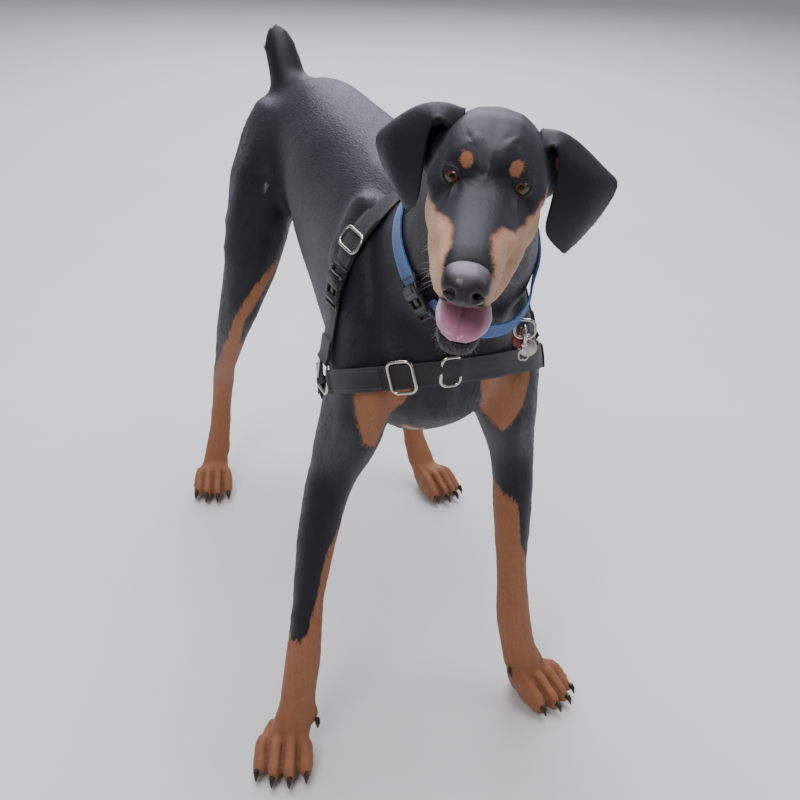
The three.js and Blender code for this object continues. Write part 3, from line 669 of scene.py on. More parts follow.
@dataclass
class Skin:
    """One closed skin over the whole animal, finer towards the head, with its lids, lips and muscles."""

    nodes: tuple = (
        *("torso", "neck", "head", "jaw", "tail"),
        *(f"foreleg_{side}_{part}" for side in SIDES for part in ("upper", "lower")),
        *(f"hindleg_{side}_{part}" for side in SIDES for part in ("upper", "lower", "hock")),
        *(f"{paw}_{side}" for paw in ("forepaw", "hindpaw") for side in SIDES),
    )
    filled: tuple = ("eye_right", "eye_left", "nose")
    ears: tuple = ("ear_right", "ear_left")
    voxel: float = 0.0075
    fine: float = 3.3  # how much finer the head is
    fine_reach: float = 0.13
    falling: float = 0.5
    paws: tuple = ((-0.176, -0.160), (0.142, -0.140), (-0.142, 0.440), (0.178, 0.340))
    paw_fine: float = 2.2
    paw_reach: tuple = (0.042, 0.16)
    depth: float = 0.0010  # of the coat over it
    nose: tuple = ((0, -222, -25), (19.5, 15, 16.5))
    eye_zone: tuple = (27.5, -107, 10)
    tail_fullness: float = 3.0
    fillers: tuple = (  # rounded forms behind the lips and under the cheekbones: centre and half sizes
        ((31, -96, -44), (9, 19, 13)),
        ((29, -112, -22), (9, 27, 14)),
        ((30, -117, -37), (7.5, 13, 9)),
        ((26.5, -140, -15), (5.5, 30, 9)),
        ((30, -126, -33), (8, 16, 11)),
        ((33, -104, -40), (7, 16, 12)),
        ((46, -40, 6), (14, 15, 24)),
    )
    soft_spots: tuple = (  # cheek, eye zone and the hollow before the eye
        ((33, -112, -24), (19, 36, 32)),
        ((27, -107, 10), (17, 14, 14)),
        ((22, -128, -4), (11, 20, 14)),
    )
    mouth: tuple = (  # y, middle height, half width, and reach above and below the middle
        (-250, -57, 19, 20, 16),
        (-215, -57, 19, 20.5, 16),
        (-192, -58.5, 18, 19.5, 18),
        (-165, -57, 19, 15, 15),
        (-138, -53, 21, 11, 11),
        (-114, -50, 22, 4, 5),
        (-104, -50, 8, 2, 2),
    )

    def graded(self, points: Array, back: bool = False) -> Array:
        """Space stretched about the head and the paws, or set back again.

        Args:
            points: Points of the row frame, or of the stretched space.
            back: Whether to set them back.

        Returns:
            The points' new places.
        """
        if not back:
            points = self.graded_paws(points, False)
        centre = from_head((0, -110, 0))
        offset = points - centre
        reach = np.maximum(np.linalg.norm(offset, axis=1), 1e-9)
        near, edge = self.fine_reach, self.fine * self.fine_reach
        if back:
            to = np.where(reach < edge, reach / self.fine, near * (reach / edge) ** (1 / self.falling))
        else:
            to = np.where(reach < near, reach * self.fine, edge * (reach / near) ** self.falling)
        points = centre + offset * (to / reach)[:, None]
        return self.graded_paws(points, True) if back else points

    def graded_paws(self, points: Array, back: bool) -> Array:
        """Space stretched about each paw, or set back again.

        Args:
            points: Points to move.
            back: Whether to set them back.

        Returns:
            The points' new places.
        """
        near, far = self.paw_reach
        edges = (0, near, far), (0, near * self.paw_fine, far)
        for x, y in self.paws:
            centre = np.array((x, y, 0.02))
            offset = points - centre
            reach = np.maximum(np.linalg.norm(offset, axis=1), 1e-9)
            to = np.interp(reach, *(edges[::-1] if back else edges))
            to = np.where(reach < far, to, reach)
            points = centre + offset * (to / reach)[:, None]
        return points

    def build(self) -> bpy.types.Object:
        """Makes the skin and the numbers its material reads."""
        piece = self.fill(copy_nodes("skin", *self.nodes, *self.filled))
        with whole_mesh(piece):
            bpy.ops.mesh.subdivide(number_cuts=2)
        rough = Surface(piece.data)
        rough.points = self.graded(rough.points + rough.normals() * 0.0003)
        rough.store()
        apply_modifier(piece, "REMESH", mode="VOXEL", voxel_size=self.voxel)
        self.form = Surface(piece.data)
        self.form.points = self.graded(self.form.points, back=True)
        self.name_regions(self.nodes + self.filled)
        self.even()
        self.refine(piece)
        self.model()
        self.form.store()
        self.piece = joined("skin", [piece, *(ear.build() for ear in EARS)])
        self.form = Surface(self.piece.data)
        self.name_regions(self.nodes + self.filled + self.ears)
        self.mark()
        shade_smooth(self.piece)
        return self.piece

    def fill(self, piece: bpy.types.Object) -> bpy.types.Object:
        """Joins rounded forms that close the hollows behind the lips and under the cheekbones."""
        made = []
        for side in SIDES.values():
            for centre, radii in self.fillers:
                deselect()
                bpy.ops.mesh.primitive_ico_sphere_add(subdivisions=4, radius=1)
                ball = bpy.context.active_object
                form = Surface(ball.data)
                form.points = from_head(form.points * radii + (side * centre[0], *centre[1:]))
                form.store()
                made.append(ball)
        return joined("skin", [piece, *made])

    def name_regions(self, nodes: tuple) -> None:
        """Finds which part of the body each point belongs to, with soft borders.

        Args:
            nodes: The CAD nodes that are the parts.
        """
        owner = []
        spots = []
        for index, node in enumerate(nodes):
            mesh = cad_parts[node].data
            corners = np.empty(len(mesh.vertices) * 3)
            mesh.vertices.foreach_get("co", corners)
            corners = np.unique(corners.reshape(-1, 3).round(5), axis=0)
            spots.append(corners)
            owner.append(np.full(len(corners), index))
        spots, owner = np.concatenate(spots), np.concatenate(owner)
        tree = kdtree.KDTree(len(spots))
        for index, spot in enumerate(spots):
            tree.insert(spot, index)
        tree.balance()
        nearest = np.array([tree.find(p)[1] for p in self.form.points])
        self.named = nodes
        self.shares = self.form.blur(np.eye(len(nodes))[owner[nearest]], 6)

    def region(self, *names: str) -> Array:
        """How far each point belongs to some parts of the body."""
        return sum(self.shares[:, self.named.index(name)] for name in names)

    def heads(self) -> Array:
        """How far each point belongs to the head."""
        return np.clip(self.region("head", "jaw", *self.filled), 0, 1)

    def even(self) -> None:
        """Takes the facets and seams out of the form."""
        form = self.form
        on_head = self.heads()
        paws = self.region(*(n for n in self.nodes if "paw" in n))
        form.smooth(5)
        form.smooth(26, np.clip(self.region("torso", "neck", "tail"), 0, 1))
        form.smooth(10, 1 - paws)
        head = to_head(form.points)
        x = np.abs(head[:, 0])
        blunt = blob(head, (0, -80, 20), (60, 60, 60)) + blob(head, (0, -170, -8), (40, 60, 24))
        form.smooth(24, np.clip(blunt, 0, 1) * on_head)
        cheek = step(x, 18, 26) * step(head[:, 1], -165, -145) * on_head
        form.smooth(40, cheek)
        head = to_head(form.points)
        for side in SIDES.values():
            for centre, radii in self.soft_spots:
                share = blob(head, (side * centre[0], *centre[1:]), radii, 0.35) * on_head
                form.soften(36, share)
        share = blob(form.points * 1000, (0, 455, 490), (125, 60, 80), 0.5) * (1 - on_head)
        form.soften(22, share)
        for paw in PAW_FRAMES:
            local = paw.local(form.points)
            form.soften(45, np.clip(blobs(local, (paw.half, 8, 28), (15, 20, 24), 0.3), 0, 1))
        form.points = form.points - form.normals() * self.depth

    def refine(self, piece: bpy.types.Object) -> None:
        """Makes the mesh finer round the eyes and over the toes."""
        head = to_head(self.form.points)
        chosen = blobs(head, self.eye_zone, (14, 14, 12), 0.01)
        for paw in PAW_FRAMES:
            local = paw.local(self.form.points)
            toes = (np.abs(local[:, 0]) < paw.half + 4) & (local[:, 1] < -14) & (local[:, 1] > -60) & (local[:, 2] < 42)
            chosen = np.maximum(chosen, toes & (local[:, 2] > 9))
        self.form.store()
        activate(piece)
        bpy.ops.object.mode_set(mode="EDIT")
        bpy.ops.mesh.select_all(action="DESELECT")
        bpy.ops.object.mode_set(mode="OBJECT")
        piece.data.vertices.foreach_set("select", chosen > 0.5)
        bpy.ops.object.mode_set(mode="EDIT")
        bpy.ops.mesh.select_mode(type="VERT")
        bpy.ops.mesh.subdivide(number_cuts=1)
        bpy.ops.object.mode_set(mode="OBJECT")
        self.form = Surface(piece.data)
        self.name_regions(self.nodes + self.filled)
        head = to_head(self.form.points)
        near = blobs(head, self.eye_zone, (16, 16, 14), 0.1)
        for paw in PAW_FRAMES:
            local = paw.local(self.form.points)
            near = np.maximum(near, blob(local, (0, -34, 22), (paw.half + 8, 32, 30), 0.1))
        self.form.smooth(6, np.clip(near, 0, 1))

    def model(self) -> None:
        """Models muscles, tendons, folds, toes and lids."""
        form = self.form
        on_head = self.heads()
        lift = sum(stroke.lift(to_head(form.points)) for stroke in STROKES if stroke.on_head) * on_head
        lift = lift + sum(stroke.lift(form.points * 1000) for stroke in STROKES if not stroke.on_head) * (1 - on_head)
        lift = lift + self.tail_fullness * self.region("tail")
        for paw in PAW_FRAMES:
            local = paw.local(form.points)
            near = np.flatnonzero((np.linalg.norm(local, axis=1) < 90) & (on_head < 0.5))
            lift[near] += paw.toes(local[near])
        form.points = form.points + form.normals() * lift[:, None] / 1000
        head = to_head(form.points)
        edges = [socket.shape(head) for socket in SOCKETS]
        under = blob(head, *self.nose, 0.12)
        head[:, 1] += 1.6 * under * on_head
        form.points = np.where(on_head[:, None] > 0.5, from_head(head), form.points)
        for edge in edges:
            share = step(edge, 2.6, 5.0) * (1 - step(edge, 10, 20)) * on_head
            form.soften(30, share)
            share = step(edge, 0.8, 1.6) * (1 - step(edge, 3, 5)) * on_head
            form.soften(2, share)

    def angles(self, leg: str) -> tuple[Array, Array, Array]:
        """Finds which points are a leg's, and where they lie round it.

        Args:
            leg: The start of the leg's node names.

        Returns:
            Shares of the leg, angles in degrees (0 ahead, more than 0 inwards), and heights.
        """
        mine = self.region(*(n for n in self.nodes if n.startswith(leg)))
        mine = mine + self.region(leg.replace("leg", "paw"))
        points = self.form.points
        on = mine > 0.5
        places = np.arange(0.0, 0.62, 0.02)
        middle, half = [], []
        for z in places:
            slab = points[on & (np.abs(points[:, 2] - max(z, 0.05)) < 0.008)][:, :2]
            low, high = (slab.min(0), slab.max(0)) if len(slab) else (middle[-1] - 0.02, middle[-1] + 0.02)
            middle.append((low + high) / 2)
            half.append((high - low) / 2)
        middle, half = np.array(middle), np.array(half)
        inward = 1 if "right" in leg else -1
        height = points[:, 2]
        across, behind = (
            (points[:, k] - np.interp(height, places, middle[:, k])) / np.interp(height, places, half[:, k])
            for k in (0, 1)
        )
        return mine, np.degrees(np.arctan2(inward * across, -behind)), height

    def mark(self) -> None:
        """The rust markings, bare lips and lids, and the mouth's lining."""
        points = self.form.points
        head = to_head(points)
        on_head = self.heads()
        tan = np.zeros(len(points))
        pale = np.zeros(len(points))
        for marking in MARKINGS:
            share = marking.share(head if marking.on_head else points * 1000)
            share = share * (on_head if marking.on_head else 1 - on_head)
            tan = np.maximum(tan, share)
            pale = np.maximum(pale, share * marking.pale)
        tan = np.maximum(tan, 0.5 * blob(head, (53, -52, 19), (4, 8, 10), 0.5))  # hair at the left ear's mouth
        for leg, borders in LEG_BORDERS.items():
            mine, angle, height = self.angles(leg)
            table = np.array(borders, float)
            low, high = (np.interp(height, table[:, 0], table[:, k]) for k in (1, 2))
            inside = step(np.minimum(angle - low, high - angle), -9, 9)
            inside = np.maximum(inside, step(-height, -0.085, -0.075))
            tan = np.maximum(tan, inside * step(mine, 0.3, 0.6))
        bare = np.zeros(len(points))
        for socket in SOCKETS:
            bare = np.maximum(bare, 1 - step(socket.shape(head.copy()), 1.0, 2.6))
        mouth = np.array(self.mouth)
        y = head[:, 1]
        middle, wide, above, below = (np.interp(y, mouth[:, 0], mouth[:, k]) for k in (1, 2, 3, 4))
        rise = head[:, 2] - middle
        reach = np.hypot(head[:, 0] / wide, rise / np.where(rise > 0, above, below))
        in_mouth = (y < -104) * on_head
        flesh = (1 - step(reach, 1.0, 1.07)) * in_mouth
        lip = (1 - step(reach, 1.16, 1.3)) * in_mouth * (1 - 0.5 * flesh)
        bare = np.maximum(bare * on_head, lip * (1 - 0.8 * flesh))
        grey = blob(head, (0, -205, -76), (26, 34, 16), 0.4) * on_head * 0.55 * (1 - lip)
        grey = np.maximum(grey, 1 - step(along_line(points * 1000, spline(SCAR, 8)), 2.5, 6.5))
        for paw in PAW_FRAMES:
            local = paw.local(points)
            near = (np.linalg.norm(local, axis=1) < 90) & (points[:, 2] < 0.07)
            # the grooves between the toes are darkened with half the bare colour
            bare[near] = np.maximum(bare[near], paw.grooves(local[near], 2.4) * 0.5)
            bare[near] = np.maximum(bare[near], 1 - step(points[near, 2], 0.003, 0.008))
        legs = self.region(*(n for n in self.nodes if "lower" in n or "hock" in n or "paw" in n))
        kept = {"tan": tan, "pale": pale, "grey": grey, "bare": bare, "flesh": flesh, "legs": legs}
        for name, values in kept.items():
            self.form.attribute(name, values)


@dataclass(frozen=True)
class PawFrame:
    """A paw's own frame: where it stands, how it is turned and half its width, in millimetres."""

    at: tuple
    turn: float
    half: float
    spread: float = 0.0022  # how the toes part ahead, a millimetre

    def local(self, points: Array) -> Array:
        """Points of the row frame, in millimetres from the paw's middle, with its toes ahead at less y."""
        c, s = math.cos(math.radians(-self.turn)), math.sin(math.radians(-self.turn))
        offset = points * 1000 - (SHIFT + (*self.at, 0))
        return np.stack((c * offset[:, 0] - s * offset[:, 1], s * offset[:, 0] + c * offset[:, 1], offset[:, 2]), 1)

    def nearest(self, local: Array, shares: tuple) -> Array:
        """How far each point is from the nearest of some lines along the toes, at shares of half the width."""
        across = local[:, 0] / (1 + np.clip(-local[:, 1], 0, 60) * self.spread)
        return np.min([np.abs(across - share * self.half) for share in shares], axis=0)

    def grooves(self, local: Array, width: float) -> Array:
        """How near each point is to a groove between two toes."""
        return bell(self.nearest(local, (-0.51, 0, 0.51)), width) * step(-local[:, 1], 10, 36)

    def toes(self, local: Array) -> Array:
        """How far the skin moves out over the toes, and in between them.

        Args:
            local: Points in the paw's own frame.

        Returns:
            Millimetres for each point.
        """
        ridge = bell(self.nearest(local, (-0.76, -0.26, 0.26, 0.76)), 5) * step(-local[:, 1], 0, 20)
        knuckle = bell(local[:, 1] + 27, 10) * step(local[:, 2], 12, 24)
        behind = bell(local[:, 1] + 6, 9) * step(local[:, 2], 16, 28)
        groove = self.grooves(local, 2.2)
        return 0.5 * ridge + 2.6 * ridge * knuckle - 1.5 * behind - 2.6 * groove * step(local[:, 2], 4, 12)


@dataclass(frozen=True)
class Marking:
    """A rust marking drawn on one view of the animal, in millimetres."""

    outline: tuple
    view: tuple = (0, 2)  # the two axes it is drawn on
    low: tuple = (-999, -999, -999)
    high: tuple = (999, 999, 999)
    edge: float = 4.0
    pale: float = 0.0
    on_head: bool = False

    def share(self, points: Array) -> Array:
        """How far each point belongs to it."""
        inside = np.all((points > self.low) & (points < self.high), axis=1)
        share = np.zeros(len(points))
        share[inside] = drawn(points[inside][:, list(self.view)], self.outline, self.edge)
        return share


@dataclass(frozen=True)
class Patch:
    """A part of the coat: where it grows and the size of its tufts in millimetres."""

    name: str
    parts: tuple
    area: float  # of skin for each tuft
    length: float
    width: float
    side: int = 0
    upright: bool = False  # unwrapped round an upright line, not a level one


@dataclass
class Coat:
    """Short hair in flat tapered tufts that lie along the skin."""

    skin: Skin
    seed: int = 11
    raised: float = 4.0
    thickness: float = 0.00022
    sunk: float = 0.00025
    kept: tuple = ("tan", "pale", "grey", "bare", "flesh")
    values: dict = field(default_factory=dict)

    def prepare(self) -> None:
        """Reads the skin's triangles, its lie of hair and its markings."""
        mesh = self.skin.piece.data
        mesh.calc_loop_triangles()
        triangles = np.empty(len(mesh.loop_triangles) * 3, np.int32)
        mesh.loop_triangles.foreach_get("vertices", triangles)
        self.triangles = triangles.reshape(-1, 3)
        self.points = self.skin.form.points
        self.normals = self.skin.form.normals()
        a, b, c = (self.points[self.triangles[:, k]] for k in range(3))
        self.area = np.linalg.norm(np.cross(b - a, c - a), axis=1) / 2
        self.middle = (a + b + c) / 3
        for name in self.kept:
            found = np.empty(len(self.points), np.float32)
            mesh.attributes[name].data.foreach_get("value", found)
            self.values[name] = found
        self.flow = self.lie()
        worn = [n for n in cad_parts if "strap" in n or "band" in n]
        self.free = np.ones(len(self.triangles), bool)
        for name in worn:
            tree = tree_of(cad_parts[name].data)
            low, high = (np.array(c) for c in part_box(name))
            for index in np.flatnonzero(np.all((self.middle > low - 0.004) & (self.middle < high + 0.004), axis=1)):
                if tree.find_nearest(self.middle[index], 0.0045)[0] is not None:
                    self.free[index] = False

    def lie(self) -> Array:
        """The way the hair points at each point of the skin."""
        skin = self.skin
        ways = {
            ("torso",): (0, 1, -0.35),
            ("neck",): (0, 0.8, -0.6),
            ("tail",): (-0.12, 0.5, 0.85),
            tuple(n for n in skin.nodes if "upper" in n): (0, 0.35, -1),
            tuple(n for n in skin.nodes if "lower" in n or "hock" in n): (0, 0.1, -1),
            tuple(n for n in skin.nodes if "paw" in n): (0, -1, -0.7),
            ("head", "jaw", *skin.filled): tuple(HEAD_TURN @ (0, 1, -0.3)),
            ("ear_left",): tuple(HEAD_TURN @ (0.45, 0.1, -1)),
            ("ear_right",): tuple(HEAD_TURN @ (-0.45, 0.1, -1)),
        }
        flow = sum(skin.region(*names)[:, None] * np.array(way) for names, way in ways.items())
        for _ in range(2):
            flow = skin.form.blur(laid(flow, self.normals), 4)
        return laid(flow, self.normals)

    def unwrapped(self, roots: Array, patch: Patch) -> Array:
        """The roots' places on an unwrap of the body round its own length.

        Args:
            roots: Where the tufts grow.
            patch: The part of the coat.

        Returns:
            Two numbers from 0 to 1 for each root.
        """
        across, along = (roots[:, :2], roots[:, 2]) if patch.upright else (roots[:, ::2], roots[:, 1])
        half = roots[:, 0] > np.median(roots[:, 0]) if patch.side == 0 and patch.upright else np.zeros(len(roots), bool)
        angle = np.empty(len(roots))
        for group in (half, ~half):
            if group.any():
                offset = across[group] - across[group].mean(0)
                angle[group] = np.arctan2(offset[:, 1], offset[:, 0]) / (2 * math.pi) + 0.5
        low, high = along.min(), along.max()
        rise = (along - low) / (high - low)
        wide = (angle * 0.48 + 0.5 * half) if half.any() else angle * 0.98
        return np.stack((0.005 + wide, 0.01 + 0.97 * rise), 1)

    def build(self, patch: Patch) -> bpy.types.Object:
        """Makes one patch of the coat as joined closed tufts.

        Args:
            patch: The part of the coat.

        Returns:
            The new piece.
        """
        rng = np.random.default_rng(self.seed + len(patch.name) * 7 + patch.side)
        share = self.skin.region(*patch.parts)[self.triangles].mean(1)
        bare = np.maximum(self.values["bare"], self.values["flesh"])[self.triangles].max(1)
        weight = self.area * (share > 0.5) * (bare < 0.4) * self.free * (self.middle[:, 2] > 0.005)
        if patch.side:
            weight = weight * (self.middle[:, 0] * patch.side > 0.0055 * patch.side)
        count = int(weight.sum() * 1e6 / patch.area)
        picked = np.searchsorted(np.cumsum(weight) / weight.sum(), rng.random(count))
        one, two = rng.random((2, count))
        turned = one + two > 1
        one, two = np.where(turned, 1 - one, one), np.where(turned, 1 - two, two)
        mix = np.stack((1 - one - two, one, two), 1)
        corners = self.triangles[picked]

        def at(values: Array) -> Array:
            """Values of the skin at the roots."""
            return np.einsum("ij,ij...->i...", mix, values[corners])

        root, normal, flow = at(self.points), at(self.normals), at(self.flow)
        normal /= np.linalg.norm(normal, axis=1)[:, None]
        flow = laid(flow, normal)
        side = np.cross(flow, normal)
        sway = np.radians(rng.normal(0, 9, count))[:, None]
        flow, side = flow * np.cos(sway) + side * np.sin(sway), side * np.cos(sway) - flow * np.sin(sway)
        rise = np.radians(self.raised + rng.normal(0, 1.6, count))[:, None]
        way = flow * np.cos(rise) + normal * np.sin(rise)
        long = (patch.length / 1000 * rng.uniform(0.7, 1.3, count))[:, None]
        wide = (patch.width / 2000 * rng.uniform(0.7, 1.3, count))[:, None]
        root = root - normal * self.sunk
        middle = root + way * long * 0.4
        tip = root + way * long - normal * long * 0.03
        tall = normal * self.thickness
        tufts = np.stack((root, middle - side * wide, middle + side * wide, middle + tall, tip), 1)
        faces = np.array(((0, 1, 2), (0, 2, 3), (0, 3, 1), (4, 2, 1), (4, 3, 2), (4, 1, 3)))
        corners_of = (np.arange(count)[:, None, None] * 5 + faces).reshape(-1)
        mesh = bpy.data.meshes.new(patch.name)
        mesh.vertices.add(count * 5)
        mesh.vertices.foreach_set("co", tufts.ravel())
        mesh.loops.add(len(corners_of))
        mesh.loops.foreach_set("vertex_index", corners_of)
        mesh.polygons.add(count * 6)
        mesh.polygons.foreach_set("loop_start", np.arange(count * 6) * 3)
        mesh.polygons.foreach_set("use_smooth", np.ones(count * 6, bool))
        mesh.update(calc_edges=True)
        spots = self.unwrapped(root, patch)
        spread = np.array(((0, -0.0015), (-0.0015, 0), (0.0015, 0), (0.0004, 0.0004), (0, 0.0015)))
        places = (spots[:, None] + spread).reshape(-1, 2)[corners_of]
        lean = np.stack((normal, normal - side * 0.35, normal + side * 0.35, normal, normal + flow * 0.15), 1)
        mesh.normals_split_custom_set_from_vertices(unit(lean).reshape(-1, 3))
        mesh.uv_layers.new(name="OFBake").data.foreach_set("uv", places.astype(np.float32).ravel())
        for name in self.kept[:3]:
            keep_number(mesh, name, np.repeat(at(self.values[name]), 5))
        strand = np.repeat(rng.random(count), 5).reshape(-1, 5) * 0.8 + np.array((0, 0.1, 0.1, 0.1, 0.2))
        keep_number(mesh, "strand", strand)
        return new_object(patch.name, mesh)


@dataclass(frozen=True)
class EyeFinish:
    """An amber-brown iris round a dark pupil, wet all over."""

    pupil: Colour = (0.004, 0.003, 0.003)
    iris: Colour = linear(112, 62, 38)
    iris_rim: Colour = linear(46, 24, 15)
    white: Colour = linear(46, 28, 26)

    def look(self) -> bpy.types.Material:
        """The material of both balls."""
        look = Look("eye")
        ring = look.value("ring")
        fibre = look.noise(1400, 3, 0.7)
        iris = look.mix((ring + 5 * fibre).between(14, 30), self.iris, self.iris_rim)
        iris = look.mix(ring.between(11.5, 14), self.pupil, iris)
        colour = look.mix(ring.between(31, 35), iris, self.white)
        look.set(Base_Color=colour, Roughness=0.2, Coat_Weight=0.55, Coat_Roughness=0.02, IOR=1.3)
        return look.material


@dataclass
class Eyeball:
    """A ball with the bulge of its cornea, turned to where the animal looks."""

    socket: EyeSocket
    turn_out: float = 14.0
    turn_up: float = 5.0
    bulge: float = 0.9
    cornea: float = 33.0

    def build(self, name: str) -> bpy.types.Object:
        """Makes the ball and the angle from its axis at each point."""
        centre = self.socket.axes()[0]
        out, up = math.radians(self.turn_out), math.radians(self.turn_up)
        gaze = np.array((self.socket.side * math.sin(out), -math.cos(out) * math.cos(up), math.sin(up)))
        deselect()
        bpy.ops.mesh.primitive_uv_sphere_add(segments=64, ring_count=40, radius=self.socket.radius)
        ball = bpy.context.active_object
        ball.name = ball.data.name = name
        form = Surface(ball.data)
        turn = np.array(Vector((0, 0, 1)).rotation_difference(Vector(gaze)).to_matrix())
        way = form.points @ turn.T
        way /= np.linalg.norm(way, axis=1)[:, None]
        ring = np.degrees(np.arccos(np.clip(way @ (gaze / np.linalg.norm(gaze)), -1, 1)))
        rise = self.bulge * np.clip(1 - (ring / self.cornea) ** 2, 0, 1)
        form.points = from_head(centre + way * (self.socket.radius - 0.1 + rise)[:, None])
        form.store()
        form.attribute("ring", ring)
        shade_smooth(ball)
        return ball


def refined(name: str, node: str, voxel: float, rounds: int) -> Surface:
    """A CAD node's form remeshed finely and smoothed.

    Args:
        name: The new piece's name.
        node: The CAD node to follow.
        voxel: Size of the new faces.
        rounds: How often it is smoothed.

    Returns:
        The new piece's surface.
    """
    piece = copy_nodes(name, node)
    apply_modifier(piece, "REMESH", mode="VOXEL", voxel_size=voxel)
    form = Surface(piece.data)
    form.smooth(rounds)
    form.store()
    shade_smooth(piece)
    return form


@dataclass
class Nose:
    """The bare leather of the nose, with its nostrils, their slits and the groove between them."""

    nostril: tuple = (8.3, -232.0, -29.0)
    opening: tuple = (3.6, 6.5, 3.4)
    slit: tuple = ((11, -232, -29), (14.5, -228.5, -31), (17, -223, -30))

    def build(self) -> bpy.types.Object:
        """Makes the leather over the muzzle's end."""
        form = refined("nose_leather", "nose", 0.00075, 16)
        blunt = step(to_head(form.points)[:, 2], -30, -22)
        form.soften(90, 0.35 + 0.65 * blunt)
        head = to_head(form.points + form.normals() * 0.0013)
        for side in SIDES.values():
            way = (head - mirrored((self.nostril,), side)) / np.array(self.opening)
            deep = np.exp(-(np.linalg.norm(way, axis=1) ** 2.4) * 0.8)
            head += deep[:, None] * np.array((side * 0.8, 4.6, 0.6))
            cut = bell(along_line(head, spline(mirrored(self.slit, side), 12)), 1.2)
            head += cut[:, None] * np.array((-side * 0.5, 1.3, 0.4))
        groove = step(-head[:, 2], 22, 27) * bell(head[:, 0], 0.9)
        head[:, 1] += 0.9 * groove
        form.points = from_head(head)
        form.store()
        # painted shade: the insides of the nostrils are painted near black
        ways = (head - mirrored((self.nostril,), side) - (0, 3.5, 0) for side in SIDES.values())
        nostril_shade = sum(np.exp(-(np.linalg.norm(way / 4, axis=1) ** 4)) for way in ways)
        form.attribute("nostril_shade", np.clip(nostril_shade, 0, 1))
        # painted highlight: how far each point lies on the nose's top, which the material paints paler
        form.attribute("top", step(head[:, 2], -21, -10))
        return bpy.data.objects["nose_leather"]

    def look(self) -> bpy.types.Material:
        """Dark pebbled leather, with a painted highlight on top and painted shade in the nostrils."""
        look = Look("nose_leather")
        pebble = look.cells(780)
        patch = look.noise(60, 3, 0.6)
        # top is the colour of the painted highlight on the nose's top
        dark, lit, top = linear(20, 16, 18), linear(46, 40, 45), linear(112, 103, 116)
        colour = look.mix((1 - pebble) * 0.5 + patch * 0.5, dark, lit)
        # paints the highlight over the nose's top
        colour = look.mix((look.value("top") + patch * 0.5 - 0.25).between(0, 1) * 0.9, colour, top)
        # the painted shade inside the nostrils
        colour = look.mix(look.value("nostril_shade"), colour, (0.004, 0.003, 0.003))
        look.set(Base_Color=colour, Roughness=0.36 + 0.2 * patch, Coat_Weight=0.15)
        look.set(Normal=look.bump(1 - pebble, 0.0002, 0.45))
        return look.material


@dataclass
class Tongue:
    """The tongue, wide and flat, with a groove down its middle and raised edges."""

    def build(self) -> bpy.types.Object:
        """Makes the tongue."""
        form = refined("tongue_flesh", "tongue", 0.0012, 14)
        head = to_head(form.points)
        top = step(form.normals() @ HEAD_TURN[:, 2], -0.1, 0.5)
        head[:, 0] += 3.0 * step(-head[:, 1], 150, 185) * step(head[:, 0], -6, 18)
        x = np.abs(head[:, 0])
        front = step(-head[:, 1], 130, 150)
        head[:, 2] -= top * front * (1.6 * bell(x, 1.6) + 0.8 * bell(x, 6))
        head[:, 2] += top * front * 1.4 * bell(x - 17, 4)
        form.points = from_head(head)
        form.store()
        # painted highlight: the raised sides of the tongue are painted paler
        form.attribute("edge", step(x, 8, 19))
        form.attribute("tip", step(-head[:, 1], 180, 207))
        return bpy.data.objects["tongue_flesh"]

    def look(self) -> bpy.types.Material:
        """Wet pink flesh with fine bumps, with a painted highlight along its raised edges."""
        look = Look("tongue_flesh")
        buds = look.cells(1100)
        patch = look.noise(120, 3, 0.6)
        streak = look.noise(500, 2, 0.6, (1, 0.2, 1), (0, 0, math.radians(26)))
        # edge is the colour of the painted highlight on the tongue's sides
        middle, edge, tip = linear(186, 138, 164), linear(220, 190, 210), linear(208, 144, 174)
        colour = look.mix((look.value("edge") + 0.3 * patch - 0.15).between(0, 1), middle, edge)
        colour = look.mix(look.value("tip") * (0.75 + 0.25 * patch), colour, tip)
        colour = look.mix(streak * 0.35, colour, linear(146, 98, 122))
        look.set(Base_Color=colour, Roughness=0.32 + 0.18 * patch, Coat_Weight=0.35, Coat_Roughness=0.2)
        look.set(Subsurface_Weight=0.12, Subsurface_Radius=(0.004, 0.0016, 0.001), Subsurface_Scale=1.0)
        look.set(Normal=look.bump(buds * 0.6 + streak * 0.4, 0.0003, 0.6))
        return look.material


@dataclass(frozen=True)
class WebbingFinish:
    """Woven webbing with ribs across it, paler woven edges and a stitched seam where it is doubled."""

    name: str
    # dark and light: the painted shade colour and the painted lit colour of the weave
    dark: Colour
    light: Colour
    thread: Colour
    rib: float = 1.5  # millimetres
    slant: float = 0.5

    def look(self) -> bpy.types.Material:
        """The material, from the numbers kept along and across the band in millimetres."""
        look = Look(self.name)
        along, across = look.value("along"), look.value("across")
        off = across.size()
        rib = (along + off * self.slant).sine(self.rib)
        yarn = (across + along * 0.15).sine(1.3)
        edge = off.between(9.8, 10.6) * (1 - off.between(11.6, 12.2))
        worn = look.noise(90, 3, 0.6)
        stitch = off.between(8.3, 8.6) * (1 - off.between(9.0, 9.3)) * along.sine(3.2).between(0.3, 0.45)
        stitch = stitch * look.value("doubled")
        # painted light and shade: ribs and yarns lighter on their crests, darker in their troughs; wear and the paler
        # edge stripes add real changes of colour
        light = (rib * 0.55 + yarn * 0.2 + edge * 0.35 + worn * 0.35 - 0.25).between(0, 1)
        colour = look.mix(light, self.dark, self.light)
        colour = look.mix(stitch, colour, self.thread)
        look.set(Base_Color=colour, Roughness=0.62 + 0.2 * worn, Sheen_Weight=0.2, Sheen_Roughness=0.5)
        look.set(Normal=look.bump(rib * 0.7 + yarn * 0.3 + stitch * 0.8, 0.00035, 0.8))
        return look.material


